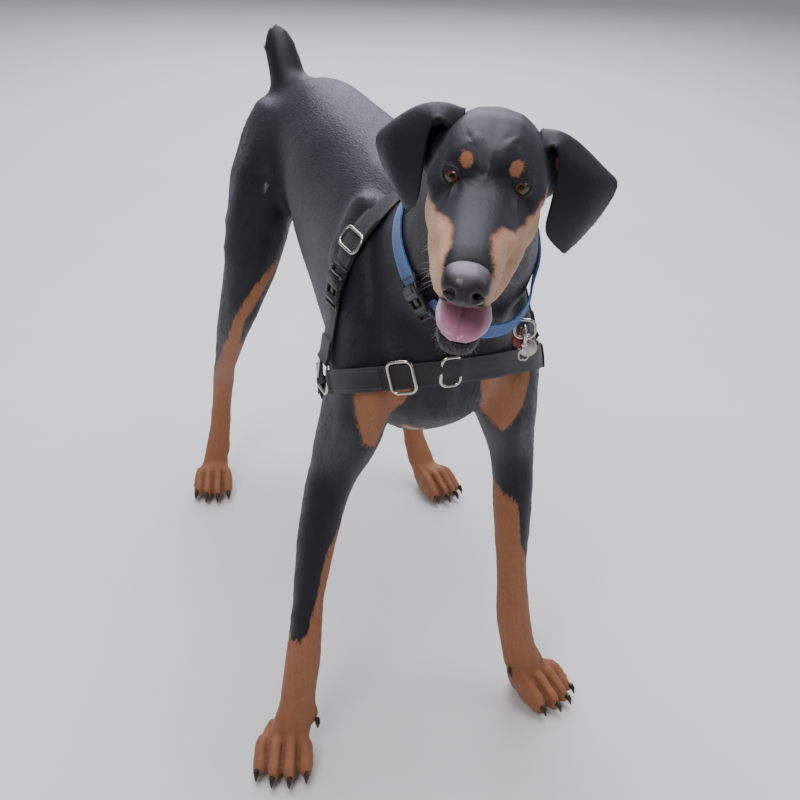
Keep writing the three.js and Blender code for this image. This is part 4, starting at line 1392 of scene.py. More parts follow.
@dataclass
class Seat:
    """A place on a strap: its middle, and the ways along, across and out of it."""

    here: Array
    along: Array
    wide: Array
    out: Array

    def place(self, piece: bpy.types.Object, radius: float = 0.0) -> None:
        """Moves a piece made in millimetres to this seat, bent round the body if a radius is given.

        Args:
            piece: The piece, with its length along x and its back at z 0.
            radius: The bend's radius in millimetres, or 0 for none.
        """
        form = Surface(piece.data)
        local = form.points.copy()
        if radius:
            local[:, 2] -= local[:, 0] ** 2 / (2 * radius)
        turn = np.stack((self.along, self.wide, self.out))
        form.points = self.here + local @ turn / 1000
        form.store()
        with whole_mesh(piece):
            if np.linalg.det(turn) < 0:
                bpy.ops.mesh.flip_normals()
        bpy.ops.object.shade_smooth_by_angle(angle=math.radians(42))


@dataclass
class Strap:
    """A band of webbing laid round the animal over its coat, doubled where it is sewn back on itself."""

    lay: "Lay"
    width: float = 0.0246
    thickness: float = 0.0021
    clear: float = 0.0017
    pitch: float = 1.25  # degrees
    bar_rise: float = 0.0024
    bar_reach: float = 1.9  # degrees

    def measure(self, skin: BVHTree) -> None:
        """Finds how far out the band lies at each angle, after the CAD strap and clear of the coat.

        Args:
            skin: The skin's faces.
        """
        facing = unit(self.lay.normal)
        across = unit(np.array((1.0, 0, 0)) - facing * facing[0])
        up = np.cross(facing, across)
        self.middle = (np.array(self.lay.at) + SHIFT) / 1000
        count = int((self.lay.stop - self.lay.start) / self.pitch) + 1
        self.angles = np.linspace(self.lay.start, self.lay.stop, count)
        turned = np.radians(self.angles)[:, None]
        self.outs = np.cos(turned) * across + np.sin(turned) * up
        self.facing = facing
        self.places = np.linspace(-0.5, 0.5, 7) * self.width
        cad = tree_of(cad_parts[self.lay.node].data)
        reach, under = np.full((2, 7, count), np.nan)
        for i, place in enumerate(self.places):
            origin = Vector(self.middle + facing * place * 0.97)
            for j, out in enumerate(self.outs):
                way = Vector(out)
                hit = cad.ray_cast(origin, way)
                if hit[0] is not None:
                    reach[i, j] = hit[3]
        for i in range(7):
            known = ~np.isnan(reach[i])
            reach[i] = np.interp(self.angles, self.angles[known], reach[i][known])
        for i, place in enumerate(self.places):
            for j, out in enumerate(self.outs):
                far = reach[i, j] + 0.006
                hit = skin.ray_cast(Vector(self.middle + facing * place + out * far), -Vector(out))
                under[i, j] = far - hit[3] if hit[0] is not None and hit[3] < 0.05 else reach[i, j] - 0.02
        if self.lay.hugs:
            spread = [under[:, max(j - 3, 0) : j + 4].max() for j in range(count)]
            under = np.maximum(under, 0.5 * under + 0.5 * np.array(spread))
            reach = np.where(reach - under < 0.04, under + self.clear, reach)
        reach = self.even(reach, 7 if self.lay.hugs else 5)
        reach = np.maximum(reach, self.even(np.minimum(under, reach + 0.004), 3) + self.clear)
        hang = np.clip(np.cos(np.radians(self.angles - self.lay.slack[0])), 0, 1) ** 6 * self.lay.slack[1]
        self.reach = self.even(reach, 2) + hang * (1 - self.places / self.width)[:, None]
        middle = self.middle + self.outs * self.reach[3][:, None]
        self.along = np.concatenate(([0], np.cumsum(np.linalg.norm(np.diff(middle, axis=0), axis=1)))) * 1000

    def even(self, rows: Array, spread: int) -> Array:
        """Rows of distances with their steps taken out, along and a little across.

        Args:
            rows: Distances, a row for each place across the band.
            spread: How many angles a step is spread over.

        Returns:
            The even rows.
        """
        kernel = np.exp(-(np.arange(-3 * spread, 3 * spread + 1) ** 2) / (2 * spread**2))
        kernel /= kernel.sum()
        padded = np.pad(rows, ((0, 0), (3 * spread, 3 * spread)), mode="edge")
        rows = np.array([np.convolve(row, kernel, "valid") for row in padded])
        sides = np.pad(rows, ((1, 1), (0, 0)), mode="edge")
        return 0.25 * sides[:-2] + 0.5 * rows + 0.25 * sides[2:]

    def lift(self) -> Array:
        """How much higher the band runs over the bars of its ring."""
        raised = np.zeros(len(self.angles))
        for bar in self.lay.bars:
            raised += self.bar_rise * bell(self.angles - bar, self.bar_reach)
        return raised

    def layer(self, start: float, stop: float, above: float, doubled: float) -> bpy.types.Object:
        """Makes one length of the band as a closed body with rounded edges.

        Args:
            start: The angle it starts at.
            stop: The angle it ends at.
            above: How far it lies over the band below it.
            doubled: 1 where it is sewn on, 0 elsewhere.

        Returns:
            The new piece.
        """
        chosen = np.flatnonzero((self.angles >= start - 0.01) & (self.angles <= stop + 0.01))
        rows = []
        half = self.width / 2
        raised = self.lift()
        for j in chosen:
            inner = self.reach[:, j] + above + raised[j]
            ring = [(self.places[i] * 0.97, inner[i] + self.thickness) for i in range(7)]
            ring += [(half, inner[6] + self.thickness * 0.72), (half, inner[6] + self.thickness * 0.28)]
            ring += [(self.places[i] * 0.97, inner[i]) for i in range(6, -1, -1)]
            ring += [(-half, inner[0] + self.thickness * 0.28), (-half, inner[0] + self.thickness * 0.72)]
            rows.append([(self.middle + self.facing * a + self.outs[j] * b, a * 1000) for a, b in ring])
        around = len(rows[0])
        points = [p for row in rows for p, _ in row]
        faces = [tuple(range(around))[::-1], tuple(range(len(points) - around, len(points)))]
        for k in range(len(rows) - 1):
            for i in range(around):
                n = (i + 1) % around
                faces.append((k * around + i, k * around + n, (k + 1) * around + n, (k + 1) * around + i))
        piece = new_piece("band", points, faces)
        form = Surface(piece.data)
        form.attribute("across", [a for row in rows for _, a in row])
        form.attribute("along", np.repeat(self.along[chosen], around))
        form.attribute("doubled", np.full(len(points), doubled))
        with whole_mesh(piece):
            bpy.ops.mesh.normals_make_consistent(inside=False)
        bpy.ops.object.shade_smooth_by_angle(angle=math.radians(50))
        return piece

    def build(self) -> bpy.types.Object:
        """Makes the band and its doubled lengths."""
        lay = self.lay
        pieces = [self.layer(lay.start, lay.stop, 0, 0)]
        pieces += [self.layer(start, stop, self.thickness * 0.97, 1) for start, stop in lay.layers]
        return joined(lay.node.replace("harness_", "").replace("band", "webbing"), pieces)

    def seat(self, degrees: float) -> Seat:
        """The place of a fitting on the band's outside, or past its end.

        Args:
            degrees: The angle round the strap.

        Returns:
            The place and its directions.
        """
        j = int(np.clip(np.searchsorted(self.angles, degrees), 1, len(self.angles) - 2))
        past = math.radians(degrees - self.angles[j]) * self.reach[3][j] if abs(degrees - self.angles[j]) < 15 else 0
        outer = [self.middle + self.outs[k] * (self.reach[3][k] + self.thickness) for k in (j - 1, j, j + 1)]
        edge = [self.middle + self.facing * self.places[i] + self.outs[j] * self.reach[i][j] for i in (0, 6)]
        along, wide = unit(outer[2] - outer[0]), unit(edge[1] - edge[0])
        out = unit(np.cross(along, wide))
        out = out if out @ self.outs[j] > 0 else -out
        level = np.cross(out, along)
        return Seat(outer[1] + along * past, along, unit(level) * np.sign(level @ wide), out)


def block(size: tuple, at: tuple, bevel: float) -> bpy.types.Object:
    """A box with rounded edges, in millimetres.

    Args:
        size: Its length, width and height.
        at: Its middle.
        bevel: The width of its rounded edges.

    Returns:
        The new piece.
    """
    deselect()
    bpy.ops.mesh.primitive_cube_add(size=1)
    piece = bpy.context.active_object
    form = Surface(piece.data)
    form.points = form.points * size + at
    form.store()
    apply_modifier(piece, "BEVEL", width=bevel, segments=3, limit_method="NONE")
    return piece


def wire(width: float, height: float, radius: float, thick: float = 1.7, at: tuple = (0, 0, 0)) -> bpy.types.Object:
    """A closed loop of wire with rounded corners, in millimetres.

    Args:
        width: Its size along x, to the middle of the wire.
        height: Its size along y.
        radius: The corners' radius.
        thick: Half the wire's thickness.
        at: Its middle.

    Returns:
        The new piece.
    """
    deselect()
    turn = (0, 0, math.radians(4.5))  # half a segment, so that no point lies on an axis
    bpy.ops.mesh.primitive_torus_add(
        major_segments=40, minor_segments=14, major_radius=radius, minor_radius=thick, rotation=turn
    )
    bpy.ops.object.transform_apply(location=False, rotation=True, scale=False)
    piece = bpy.context.active_object
    form = Surface(piece.data)
    form.points[:, 0] += np.sign(form.points[:, 0]) * (width / 2 - radius)
    form.points[:, 1] += np.sign(form.points[:, 1]) * (height / 2 - radius)
    form.points = form.points + at
    form.store()
    return piece


def turned_on(piece: bpy.types.Object, axis: str, degrees: float) -> bpy.types.Object:
    """A piece turned about an axis of its own frame."""
    form = Surface(piece.data)
    form.points = form.points @ np.array(Matrix.Rotation(math.radians(degrees), 3, axis)).T
    form.store()
    return piece


@dataclass(frozen=True)
class Buckle:
    """A side-release buckle: a shell, the two springs that snap into it, and a window for the webbing at each end."""

    length: float = 44.0
    width: float = 31.0

    def build(self) -> bpy.types.Object:
        """Makes the buckle flat, with its length along x."""
        end, side = self.length / 2, self.width / 2
        pieces = [
            block((end - 8, self.width - 1, 7.6), (-(end - 8) / 2 + 0.5, 0, 2.2), 2.4),
            block((end - 14, self.width - 6, 5.6), (end / 2 + 1, 0, 2.0), 1.6),
            block((8, 8, 4.4), (3, 0, 2.0), 1.2),
            block((8.5, 15, 1.4), (-end / 2 + 1, 0, 6.0), 0.6),
            block((3.4, self.width - 8, 6.4), (end - 9.5, 0, 2.2), 1.2),
            block((3.0, self.width - 6, 6.4), (-end + 9.5, 0, 2.2), 1.2),
        ]
        for way in (-1, 1):
            pieces.append(block((16, 4.2, 5.2), (4.5, way * (side - 3.4), 2.1), 1.5))
            pieces.append(block((3.2, self.width - 2, 3.2), (way * (end - 1.6), 0, 1.9), 1.2))
            for edge in (-1, 1):
                pieces.append(block((10, 3.2, 4.2), (way * (end - 5.2), edge * (side - 1.9), 1.6), 1.2))
        return joined("buckle", pieces)


@dataclass(frozen=True)
class Fitting:
    """A fitting, its strap, the angle it sits at, its slot and how high it stands; one that hangs faces ahead."""

    node: str
    strap: str
    angle: float
    slot: str
    raised: float
    bend: float = 0.0
    hangs: bool = False
    shift: tuple = (0, 0, 0)

    def form(self) -> bpy.types.Object:
        """The fitting's form flat on its strap, in millimetres."""
        if "buckle" in self.node:
            return Buckle(46, 30).build() if "collar" in self.node else Buckle().build()
        if "side_ring" in self.node:
            return wire(32, 32, 6)
        if "slider" in self.node:
            return wire(26 if "chest" in self.node else 20, 33, 7)
        if self.node == "collar_ring":
            return wire(20, 18, 7, 1.6)
        if self.node == "collar_clip":
            return self.clip()
        if "tag" in self.node:
            return self.tag()
        return wire(20, 33, 7)

    def clip(self) -> bpy.types.Object:
        """A swivel hook with its ball."""
        deselect()
        bpy.ops.mesh.primitive_uv_sphere_add(segments=24, ring_count=14, radius=3.6, location=(0, -9.5, 0))
        bpy.ops.object.transform_apply(location=True)
        ball = bpy.context.active_object
        level = (math.pi / 2, 0, 0)
        bpy.ops.mesh.primitive_cylinder_add(vertices=24, radius=2.3, depth=5, location=(0, -14, 0), rotation=level)
        bpy.ops.object.transform_apply(location=True, rotation=True)
        barrel = bpy.context.active_object
        apply_modifier(barrel, "BEVEL", width=0.7, segments=3, limit_method="ANGLE")
        hook = turned_on(wire(12, 16, 5.6, 1.7), "Y", 90)
        return joined("clip", [ball, barrel, hook, wire(9, 11, 4, 1.0, (0, -20.5, 0))])

    def tag(self) -> bpy.types.Object:
        """A bare round disc with a raised rim and the small ring it hangs from."""
        radius = 9.0 if "plain" in self.node else 8.0
        deselect()
        bpy.ops.mesh.primitive_cylinder_add(vertices=64, radius=radius, depth=1.3)
        disc = bpy.context.active_object
        apply_modifier(disc, "BEVEL", width=0.4, segments=3, limit_method="ANGLE")
        rim = wire(2 * radius - 0.8, 2 * radius - 0.8, radius - 0.4, 0.8)
        return joined("tag", [disc, rim, turned_on(wire(7, 7, 3.5, 0.6, (0, radius + 1.5, 0)), "Y", 60)])

    def build(self, straps: dict) -> bpy.types.Object:
        """Makes the fitting in its place, at the CAD fitting's spot along and across the strap.

        Args:
            straps: Each strap by its node.

        Returns:
            The new piece.
        """
        seat = straps[self.strap].seat(self.angle)
        if self.hangs:
            low, high = (np.array(c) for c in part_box(self.node))
            out = unit((-0.3, -0.94, 0.12))
            along = unit(np.cross((0, 0, 1), out))
            seat = Seat((low + high) / 2 + np.array(self.shift) / 1000, along, np.cross(out, along), out)
        seat.here = seat.here + seat.out * self.raised / 1000
        piece = self.form()
        seat.place(piece, self.bend)
        piece.name = piece.data.name = self.node.replace("harness_", "").replace("collar_tag", "round_tag") + "_made"
        return piece


@dataclass
class Whiskers:
    """Pale fine hairs along the lips, the cheeks and the chin, each a thin closed body."""

    skin: Skin
    seed: int = 5

    def build(self) -> bpy.types.Object:
        """Makes every whisker."""
        rng = np.random.default_rng(self.seed)
        points, normals = self.skin.form.points, self.skin.form.normals()
        head = to_head(points)
        on_head = self.skin.heads() > 0.9
        x, y, z = np.abs(head[:, 0]), head[:, 1], head[:, 2]
        groups = (
            ((y > -212) & (y < -172) & (z > -36) & (z < -14) & (x > 13), 20, 17, 0.13, (0, 0.6, -0.5)),
            ((y > -170) & (y < -105) & (z > -46) & (z < -26) & (x > 22), 60, 7, 0.08, (0, 0.4, -0.7)),
            ((y < -182) & (z < -70) & (z > -92), 90, 5.5, 0.08, (0, -0.1, -0.8)),
        )
        corners, faces = [], []
        for mask, count, length, thick, lean in groups:
            chosen = rng.choice(np.flatnonzero(mask & on_head), count)
            for spot in chosen:
                way = unit(normals[spot] * 1.0 + HEAD_TURN @ np.array(lean) + rng.normal(0, 0.16, 3))
                drop = HEAD_TURN @ np.array((0, 0.25, -0.35))
                side = unit(np.cross(way, (0.3, 0.5, 0.8)))
                other = np.cross(way, side)
                long = length * rng.uniform(0.6, 1.25) / 1000
                first = len(corners)
                for share, width in ((-0.04, 1.0), (0.35, 0.8), (0.7, 0.5)):
                    middle = points[spot] + way * long * share + drop * long * share**2 * 0.5
                    for k in range(3):
                        turn = 2 * math.pi * k / 3
                        corners.append(middle + (side * math.cos(turn) + other * math.sin(turn)) * thick * width / 1000)
                corners.append(points[spot] + way * long + drop * long * 0.5)
                faces.append((first + 2, first + 1, first))
                for ring in (0, 3):
                    for k in range(3):
                        a, b = first + ring + k, first + ring + (k + 1) % 3
                        faces.append((a, b, b + 3, a + 3))
                faces += [(first + 6 + k, first + 6 + (k + 1) % 3, first + 9) for k in range(3)]
        piece = new_piece("whiskers", np.array(corners), faces)
        piece.data.materials.append(PlainFinish("whisker", linear(176, 168, 164), linear(110, 104, 104), 0.5).look())
        shade_smooth(piece)
        return piece


@dataclass(frozen=True)
class Claws:
    """A paw's claws, rounded from their CAD forms, short and worn; sizes in metres."""

    paw: str
    nodes: tuple
    voxel: float = 0.0007
    fuller: float = 0.0004
    worn: float = 0.42
    droop: float = 0.0012
    lowest: float = 0.0008

    def claw(self, node: str) -> bpy.types.Object:
        """Makes one claw."""
        piece = copy_nodes("claw", node)
        apply_modifier(piece, "REMESH", mode="VOXEL", voxel_size=self.voxel)
        form = Surface(piece.data)
        form.points = form.blur(form.points, 8) + form.normals() * self.fuller
        middle = form.points.mean(0)
        way = np.linalg.svd(form.points - middle, full_matrices=False)[2][0]
        way = way if way[2] < 0 else -way
        place = (form.points - middle) @ way
        root = np.quantile(place, 0.02)
        share = np.clip((place - root) / (place.max() - root), 0, 1)
        form.points -= way * ((place - root) * self.worn)[:, None]
        form.points[:, 2] -= self.droop * share**2
        form.points[:, 2] = np.maximum(form.points[:, 2], self.lowest)
        form.store()
        return piece

    def build(self) -> bpy.types.Object:
        """Makes the paw's claws as one piece."""
        piece = joined(f"claws_{self.paw}", [self.claw(node) for node in self.nodes])
        shade_smooth(piece)
        return piece


@dataclass
class Studio:
    """A pale floor, soft lights and the camera."""

    eye: tuple = (-0.4248, -1.223, 1.0895)
    yaw: float = math.radians(-19.33)
    pitch: float = math.radians(28.93)
    roll: float = math.radians(1.79)
    lens: float = 56.54

    def camera(self) -> None:
        """Stands the camera where the photograph was taken from."""
        near = math.cos(self.pitch)
        forward = Vector((-math.sin(self.yaw) * near, math.cos(self.yaw) * near, -math.sin(self.pitch)))
        level = Vector((math.cos(self.yaw), math.sin(self.yaw), 0))
        rise = level.cross(forward)
        right = math.cos(self.roll) * level + math.sin(self.roll) * rise
        up = -math.sin(self.roll) * level + math.cos(self.roll) * rise
        data = bpy.data.cameras.new("camera")
        data.lens, data.sensor_width, data.clip_start = self.lens, 36, 0.02
        camera = new_object("camera", data)
        camera.matrix_world = Matrix((right, up, -forward)).transposed().to_4x4()
        camera.location = self.eye
        bpy.context.scene.camera = camera

    def floor(self) -> None:
        """A wide pale floor."""
        deselect()
        bpy.ops.mesh.primitive_plane_add(size=60, location=(0, 0, 0))
        floor = bpy.context.active_object
        floor.name = "floor"
        look = Look("pale_floor")
        grain = look.noise(3, 4, 0.6)
        look.set(Base_Color=look.mix(grain, linear(222, 222, 220), linear(232, 232, 230)), Roughness=0.8)
        floor.data.materials.append(look.material)

    def light(self, name: str, at: tuple, size: float, power: float, colour: Colour) -> None:
        """One soft square light that faces the animal.

        Args:
            name: The lamp's name.
            at: Where it stands.
            size: The length of its sides.
            power: Its strength in watts.
            colour: Its colour.
        """
        data = bpy.data.lights.new(name, "AREA")
        data.shape, data.size, data.energy, data.color = "SQUARE", size, power, colour
        lamp = new_object(name, data)
        lamp.location = at
        lamp.rotation_euler = (Vector((0, 0, 0.4)) - Vector(at)).to_track_quat("-Z", "Y").to_euler()

    def build(self) -> None:
        """Sets the whole studio."""
        self.camera()
        self.floor()
        self.light("sky", (0.1, 0.5, 2.8), 2.4, 100, (0.9, 0.9, 1.0))
        self.light("back", (0.9, 3.0, 2.0), 2.4, 80, (0.86, 0.86, 1.0))
        self.light("key", (-1.6, -1.8, 2.8), 1.0, 38, (1.0, 0.97, 0.93))
        self.light("fill", (2.6, -1.4, 1.8), 1.6, 14, (1.0, 1.0, 1.0))
        world = bpy.data.worlds.new("studio")
        bpy.context.scene.world = world
        world.use_nodes = True
        background = world.node_tree.nodes["Background"]
        background.inputs["Color"].default_value = (0.94, 0.95, 1.0, 1)
        background.inputs["Strength"].default_value = 0.22


EAR_LEFT = (
    ((38, -56, 22), (43, -56, 30), (48, -57, 30), (53, -60, 14), (52, -64, -12), (53, -60, -38), (70, -50, -57)),
    ((42, -8, -4), (66, -12, 8), (91, -20, 6), (103, -25, 0), (97, -32, -20), (84, -40, -42), (72, -48, -57)),
    ((-7, 0, 26), (-2, -1, 17), (1, 0, 9), (4, -6, 4), (5, -7, 1), (4, -5, 0), (0, 0, 0)),
)
EAR_RIGHT = (  # mirrored
    ((31, -57, 24), (40, -60, 36), (48, -62, 38), (52, -62, 21), (52, -64, -6), (53, -60, -29), (59, -50, -44)),
    ((42, -8, -2), (64, -12, 10), (86, -19, 14), (96, -25, 5), (90, -32, -10), (74, -42, -28), (61, -49, -44)),
    ((-8, 0, 30), (-3, -1, 21), (1, 0, 11), (4, -6, 5), (5, -7, 1), (4, -5, 0), (0, 0, 0)),
)
EARS = tuple(Ear(*(mirrored(line, side) for line in lines)) for side, lines in ((1, EAR_LEFT), (-1, EAR_RIGHT)))
SOCKETS = tuple(EyeSocket(side) for side in SIDES.values())
HEAD_STROKES = (
    Stroke(((0, -40, 56), (0, -75, 52), (0, -100, 36)), 5, -1.3, both=False),  # furrow of the forehead
    Stroke(((12, -98, 38), (20, -104, 30), (30, -102, 22)), 6, 1.8),  # brow
    Stroke(((5, -104, 32), (9, -94, 42), (16, -84, 48)), 2.4, -0.8),  # wrinkles over the brow
    Stroke(((8, -104, 32), (12.5, -95, 41), (20, -86, 45)), 2.4, 0.6),
    Stroke(((12, -106, 30), (17, -97, 38), (24, -88, 42)), 2.4, -0.7),
    Stroke(((42, -88, 22), (45, -70, 26)), 9, -1.6),  # temple
    Stroke(((36, -105, -8), (43, -85, -3), (46, -62, 0)), 6, 1.4),  # cheekbone
    Stroke(((15, -205, -14), (17, -185, -16), (21, -160, -20)), 6, -0.9),  # groove over the lip
)
BODY_STROKES = (  # line, width and height
    (((-60, -50, 640), (-88, -62, 600), (-104, -95, 545), (-112, -130, 490)), 22, 3),  # shoulder blade's ridge
    (((-70, -160, 560), (-92, -165, 510), (-104, -160, 460)), 13, -4),  # before the shoulder
    (((-104, -40, 560), (-120, -50, 490), (-122, -58, 430)), 15, -5),  # behind the upper arm
    (((-118, -100, 480), (-126, -92, 430), (-130, -84, 385)), 17, 4),  # triceps
    (((52, -50, 640), (80, -60, 600), (96, -95, 545), (104, -130, 490)), 22, 3),
    (((96, -40, 560), (112, -50, 490), (116, -60, 430)), 15, -5),
    (((110, -100, 480), (120, -96, 430), (124, -90, 385)), 17, 4),
    (((-86, 240, 600), (-92, 262, 540), (-84, 268, 480)), 14, -5),  # flank before the thigh
    (((-100, 330, 590), (-118, 330, 520), (-128, 330, 450)), 24, 5),  # thigh
    (((-96, 400, 590), (-116, 398, 520), (-126, 380, 440)), 11, -4),  # groove of the hamstring
    (((88, 240, 600), (96, 258, 540), (92, 262, 480)), 14, -5),
    (((108, 325, 590), (124, 322, 520), (130, 320, 450)), 24, 5),
    (((104, 395, 590), (122, 390, 520), (130, 365, 440)), 11, -4),
    (((-138, 400, 290), (-136, 432, 240), (-134, 456, 200)), 8, -3.5),  # before the hock's tendon
    (((150, 356, 290), (156, 384, 240), (162, 402, 200)), 8, -3.5),
    (((-28, 450, 492), (-66, 446, 480), (-100, 418, 452)), 20, 11),  # below the seat bone
    (((30, 450, 492), (68, 444, 480), (102, 412, 452)), 20, 11),
    (((-40, 486, 590), (0, 494, 580), (40, 486, 590)), 30, -9),  # under the tail
    (((48, -205, 650), (57, -228, 605), (50, -246, 572)), 24, 6),  # loose skin under the collar
    (((-20, -212, 560), (-19, -210, 500), (-22, -190, 440)), 9, 3),  # breastbone
)
STROKES = HEAD_STROKES + tuple(Stroke(*row, both=False, on_head=False) for row in BODY_STROKES)


@dataclass(frozen=True)
class Lay:
    """How a strap lies: a plane's place and facing, and the angles round it from the animal's left."""

    node: str
    at: tuple
    normal: tuple
    start: float
    stop: float
    layers: tuple = ()
    bars: tuple = ()
    slack: tuple = (0, 0)  # the angle it hangs off the body at, and how far in metres
    hugs: bool = False  # it follows the coat, not the CAD strap


LAYS = (
    Lay("collar_band", (2, -279, 627), (-0.02, -0.84, 0.54), 211, 553, slack=(330, 0.002)),
    Lay(
        *("harness_chest_strap", (0, -187, 477), (0, 0.43, 0.9), 184, 357),
        layers=((185.5, 226), (339, 355.5)),
        bars=(187, 258, 268, 354),
    ),
    Lay(
        *("harness_shoulder_strap", (0, -181, 481), (0, -1, 0.03), 6.5, 173.5),
        layers=((8, 24), (109, 128), (158, 172)),
        bars=(9, 171),
    ),
    Lay(
        *("harness_girth_strap", (0, -170, 481), (0, -0.72, -0.69), 182, 358),
        layers=((184, 202), (338, 356)),
        bars=(185, 355),
        hugs=True,
    ),
)
PAW_FRAMES = (
    PawFrame((-168, -214), -20, 32),
    PawFrame((150, -192), 28, 32),
    PawFrame((-134, 386), -16, 27),
    PawFrame((186, 284), 22, 26),
)
FITTINGS = (
    Fitting("collar_buckle", "collar_band", 562, "black_plastic", 0, 78),
    Fitting("collar_ring", "collar_band", 311, "steel", 0, 0, True, (0, 0, 2)),
    Fitting("collar_clip", "collar_band", 311, "steel", 2, 0, True, (0, 0, -2)),
    Fitting("collar_tag_plain", "collar_band", 311, "steel", 3, 0, True, (6, 0, -4)),
    Fitting("collar_tag_red", "collar_band", 311, "tag_red", 5, 0, True, (-4, 0, -3)),
    Fitting("harness_chest_slider", "harness_chest_strap", 238, "steel", 1.9, 90),
    Fitting("harness_chest_ring", "harness_chest_strap", 263, "steel", -0.6, 110),
    Fitting("harness_shoulder_slider", "harness_shoulder_strap", 119, "steel", 3.4),
    Fitting("harness_shoulder_buckle", "harness_shoulder_strap", 135, "black_plastic", 0.2, 110),
    Fitting("harness_girth_buckle", "harness_girth_strap", 322, "black_plastic", 0.2, 110),
    Fitting("harness_side_ring_right", "harness_shoulder_strap", 180, "steel", -0.4),
    Fitting("harness_side_ring_left", "harness_shoulder_strap", 0, "steel", -0.4),
)
SCAR = ((-101, 276, 529), (-90, 285, 541), (-80, 295, 549))
BROW = ((-6, 0), (-4, 6), (1, 8), (5.5, 5), (6, -1), (3, -6.5), (-2.5, -6.5))
BROW_RIGHT, BROW_LEFT = (
    tuple((0.84 * x + across, 0.84 * z + height) for x, z in BROW) for across, height in ((-17.6, 25.4), (20, 24.6))
)
THROAT = ((-30, -150), (30, -150), (30, -70), (-30, -70))
CHEST_RIGHT = ((-103, 500), (-50, 512), (-56, 480), (-68, 445), (-78, 416), (-92, 425), (-99, 455))
CHEST_LEFT = ((12, 512), (82, 500), (80, 455), (66, 412), (46, 432), (24, 470))
BREASTBONE = ((-42, -150), (-14, -150), (-16, -128), (-40, -128))
FACE_RIGHT = (
    *((-57, 0), (-65, -9), (-78, -17), (-100, -15), (-126, -12)),
    *((-161, -3), (-183, -1.7), (-205, -6), (-222, -22)),
)
FACE_LEFT = (
    *((-57, 4), (-73, 2.7), (-93, -1.8), (-101, -10.5), (-122, -12)),
    *((-150, -9), (-168, 0), (-190, 0), (-208, -6), (-222, -22)),
)
LIP = ((-228, -48), (-190, -48), (-150, -52), (-118, -62), (-104, -92), (-60, -92), (-54, -40))
MARKINGS = (
    Marking(BROW_RIGHT, (0, 2), (-30, -130, 12), (0, -85, 45), 3.4, 0.0, True),
    Marking(BROW_LEFT, (0, 2), (0, -130, 12), (34, -85, 45), 3.4, 0.0, True),
    Marking(FACE_RIGHT + LIP, (1, 2), (-99, -240, -99), (-9, -50, 20), 6.5, 0.75, True),
    Marking(FACE_LEFT + LIP, (1, 2), (9, -240, -99), (99, -50, 20), 6.5, 0.75, True),
    Marking(THROAT, (0, 1), (-40, -160, -120), (40, -60, -70), 6, 0.4, True),
    Marking(CHEST_RIGHT, high=(0, -110, 999), edge=6, pale=0.2),
    Marking(CHEST_LEFT, high=(999, -110, 999), edge=6, pale=0.2),
    Marking(BREASTBONE, (0, 1), (-60, -165, 380), (20, -110, 440), 4, 0.8),
)
LEG_BORDERS = {  # height, and the angles the rust starts and ends at
    "foreleg_right": (
        (0.165, -200, 200), (0.172, -20, 200), (0.184, -11, 200), (0.22, 6, 200), (0.27, 10, 190),
        (0.282, 28, 180), (0.30, 51, 170), (0.315, 75, 150), (0.33, 115, 100),
    ),
    "foreleg_left": (
        (0.175, -200, 200), (0.19, -95, 200), (0.205, -60, 200), (0.229, -31, 200), (0.25, -2, 200),
        (0.29, 8, 190), (0.304, 18, 180), (0.312, 60, 150), (0.322, 120, 100),
    ),
    "hindleg_right": (
        # above about 0.29 m the rust stops short of the hind legs' inner side, which is left black as painted shade
        (0.12, -200, 200), (0.14, -140, 160), (0.17, -128, 145), (0.20, -115, 150), (0.229, -85, 190),
        (0.26, -68, 190), (0.285, -55, 150), (0.31, -47, 12), (0.354, -39, -3), (0.387, -25, 8), (0.417, -9, 22),
        (0.436, 8, 34), (0.46, 50, 20),
    ),
}
LEG_BORDERS["hindleg_left"] = LEG_BORDERS["hindleg_right"]
FORELEGS = ("foreleg_right_upper", "foreleg_left_upper", "foreleg_right_lower", "foreleg_left_lower")
HINDLEGS = tuple(n.replace("fore", "hind") for n in FORELEGS) + ("hindleg_right_hock", "hindleg_left_hock")
PAWS = ("forepaw_right", "forepaw_left", "hindpaw_right", "hindpaw_left")
PATCHES = (
    Patch("coat_head", ("head", "jaw", "eye_right", "eye_left", "nose"), 2.9, 3.8, 0.7),
    Patch("coat_ears", ("ear_left", "ear_right"), 3.4, 3.6, 0.75),
    Patch("coat_neck", ("neck",), 6.0, 8.5, 1.4),
    Patch("coat_torso_right", ("torso",), 8.0, 10.0, 1.6, side=-1),
    Patch("coat_torso_left", ("torso",), 8.0, 10.0, 1.6, side=1),
    Patch("coat_tail", ("tail",), 5.5, 8.0, 1.2, upright=True),
    Patch("coat_forelegs", FORELEGS, 6.0, 7.0, 1.15, upright=True),
    Patch("coat_hindlegs", HINDLEGS, 7.2, 8.0, 1.3, upright=True),
    Patch("coat_paws", PAWS, 3.6, 4.0, 0.75, upright=True),
)


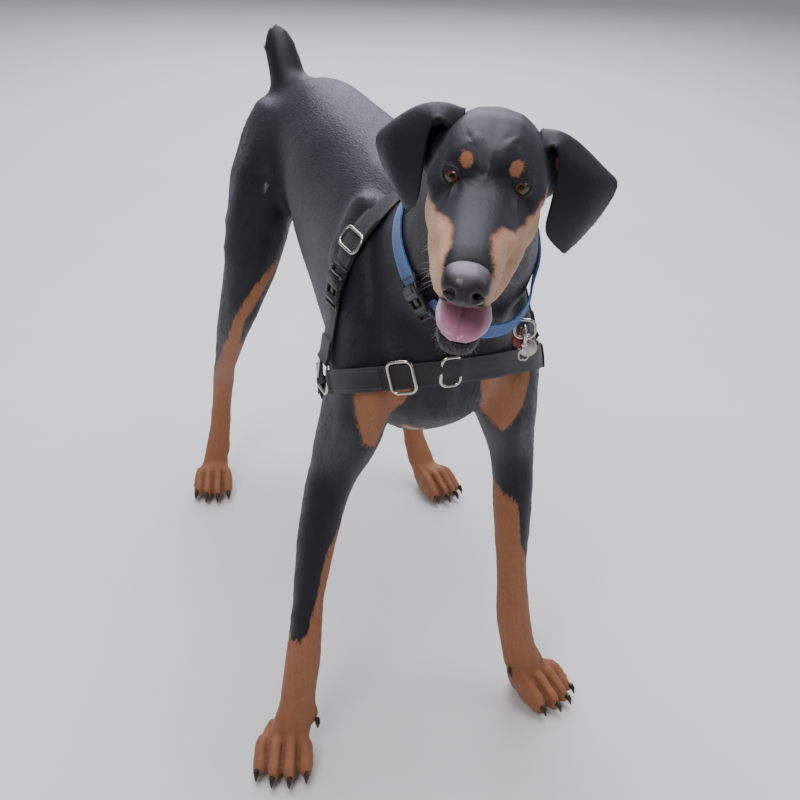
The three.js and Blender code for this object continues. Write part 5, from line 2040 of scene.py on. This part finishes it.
def main() -> None:
    """Builds the model in order and reports each piece."""
    logging.basicConfig(level=logging.INFO, format="%(message)s")
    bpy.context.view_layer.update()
    Studio().build()
    skin = Skin()
    piece = skin.build()
    piece.data.materials.append(CoatFinish().look("coat", True))
    fit(piece, "black_coat", *skin.nodes, *skin.ears)
    coat = Coat(skin)
    coat.prepare()
    hair = CoatFinish().look("short_hair", False)
    for patch in PATCHES:
        tufts = coat.build(patch)
        tufts.data.materials.append(hair)
        fit(tufts, "black_coat")
    eye = EyeFinish().look()
    for side, socket in zip(SIDES, SOCKETS):
        ball = Eyeball(socket).build(f"eyeball_{side}")
        ball.data.materials.append(eye)
        fit(ball, "eye", f"eye_{side}")
    for part, slot in ((Nose(), "nose_leather"), (Tongue(), "tongue")):
        made = part.build()
        made.data.materials.append(part.look())
        fit(made, slot, slot.split("_")[0])
    hairs = Whiskers(skin).build()
    fit(hairs, "black_coat")
    horn = PlainFinish("claw_horn", linear(26, 23, 23), linear(58, 50, 46), 0.3, 400, 0.00025).look()
    for paw in PAWS:
        nodes = [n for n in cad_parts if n.startswith(f"claw_{paw}")]
        if "fore" in paw:
            nodes.append("dewclaw_" + paw.split("_")[1])
        claws = Claws(paw, tuple(nodes)).build()
        claws.data.materials.append(horn)
        fit(claws, "claw", *nodes)
    # each webbing's painted shade colour, painted lit colour and thread colour
    blue = linear(22, 58, 122), linear(92, 146, 214), linear(120, 166, 222)
    black = linear(9, 9, 10), linear(44, 44, 47), linear(70, 70, 74)
    webbing = {
        "blue_webbing": WebbingFinish("blue_webbing", *blue, 1.3, 0.9).look(),
        "black_webbing": WebbingFinish("black_webbing", *black).look(),
    }
    tree = tree_of(piece.data)
    straps = {lay.node: Strap(lay) for lay in LAYS}
    for name, strap in straps.items():
        strap.measure(tree)
        band = strap.build()
        slot = "blue_webbing" if "collar" in name else "black_webbing"
        band.data.materials.append(webbing[slot])
        fit(band, slot, name)
    steel, plastic = ((0.66, 0.63, 0.57), (0.5, 0.47, 0.42)), (linear(17, 17, 18), linear(27, 27, 29))
    red = linear(150, 20, 28), linear(112, 12, 20)
    finishes = (
        PlainFinish("steel", *steel, 0.22, 500, 0.00008, metallic=1.0),
        PlainFinish("black_plastic", *plastic, 0.36, 900, 0.00008),
        PlainFinish("tag_red", *red, 0.25, 500, 0.00008, coat=0.6),
    )
    looks = {finish.name: finish.look() for finish in finishes}
    for fitting in FITTINGS:
        made = fitting.build(straps)
        made.data.materials.append(looks[fitting.slot])
        fit(made, fitting.slot, fitting.node)


if __name__ == "__main__":
    main()
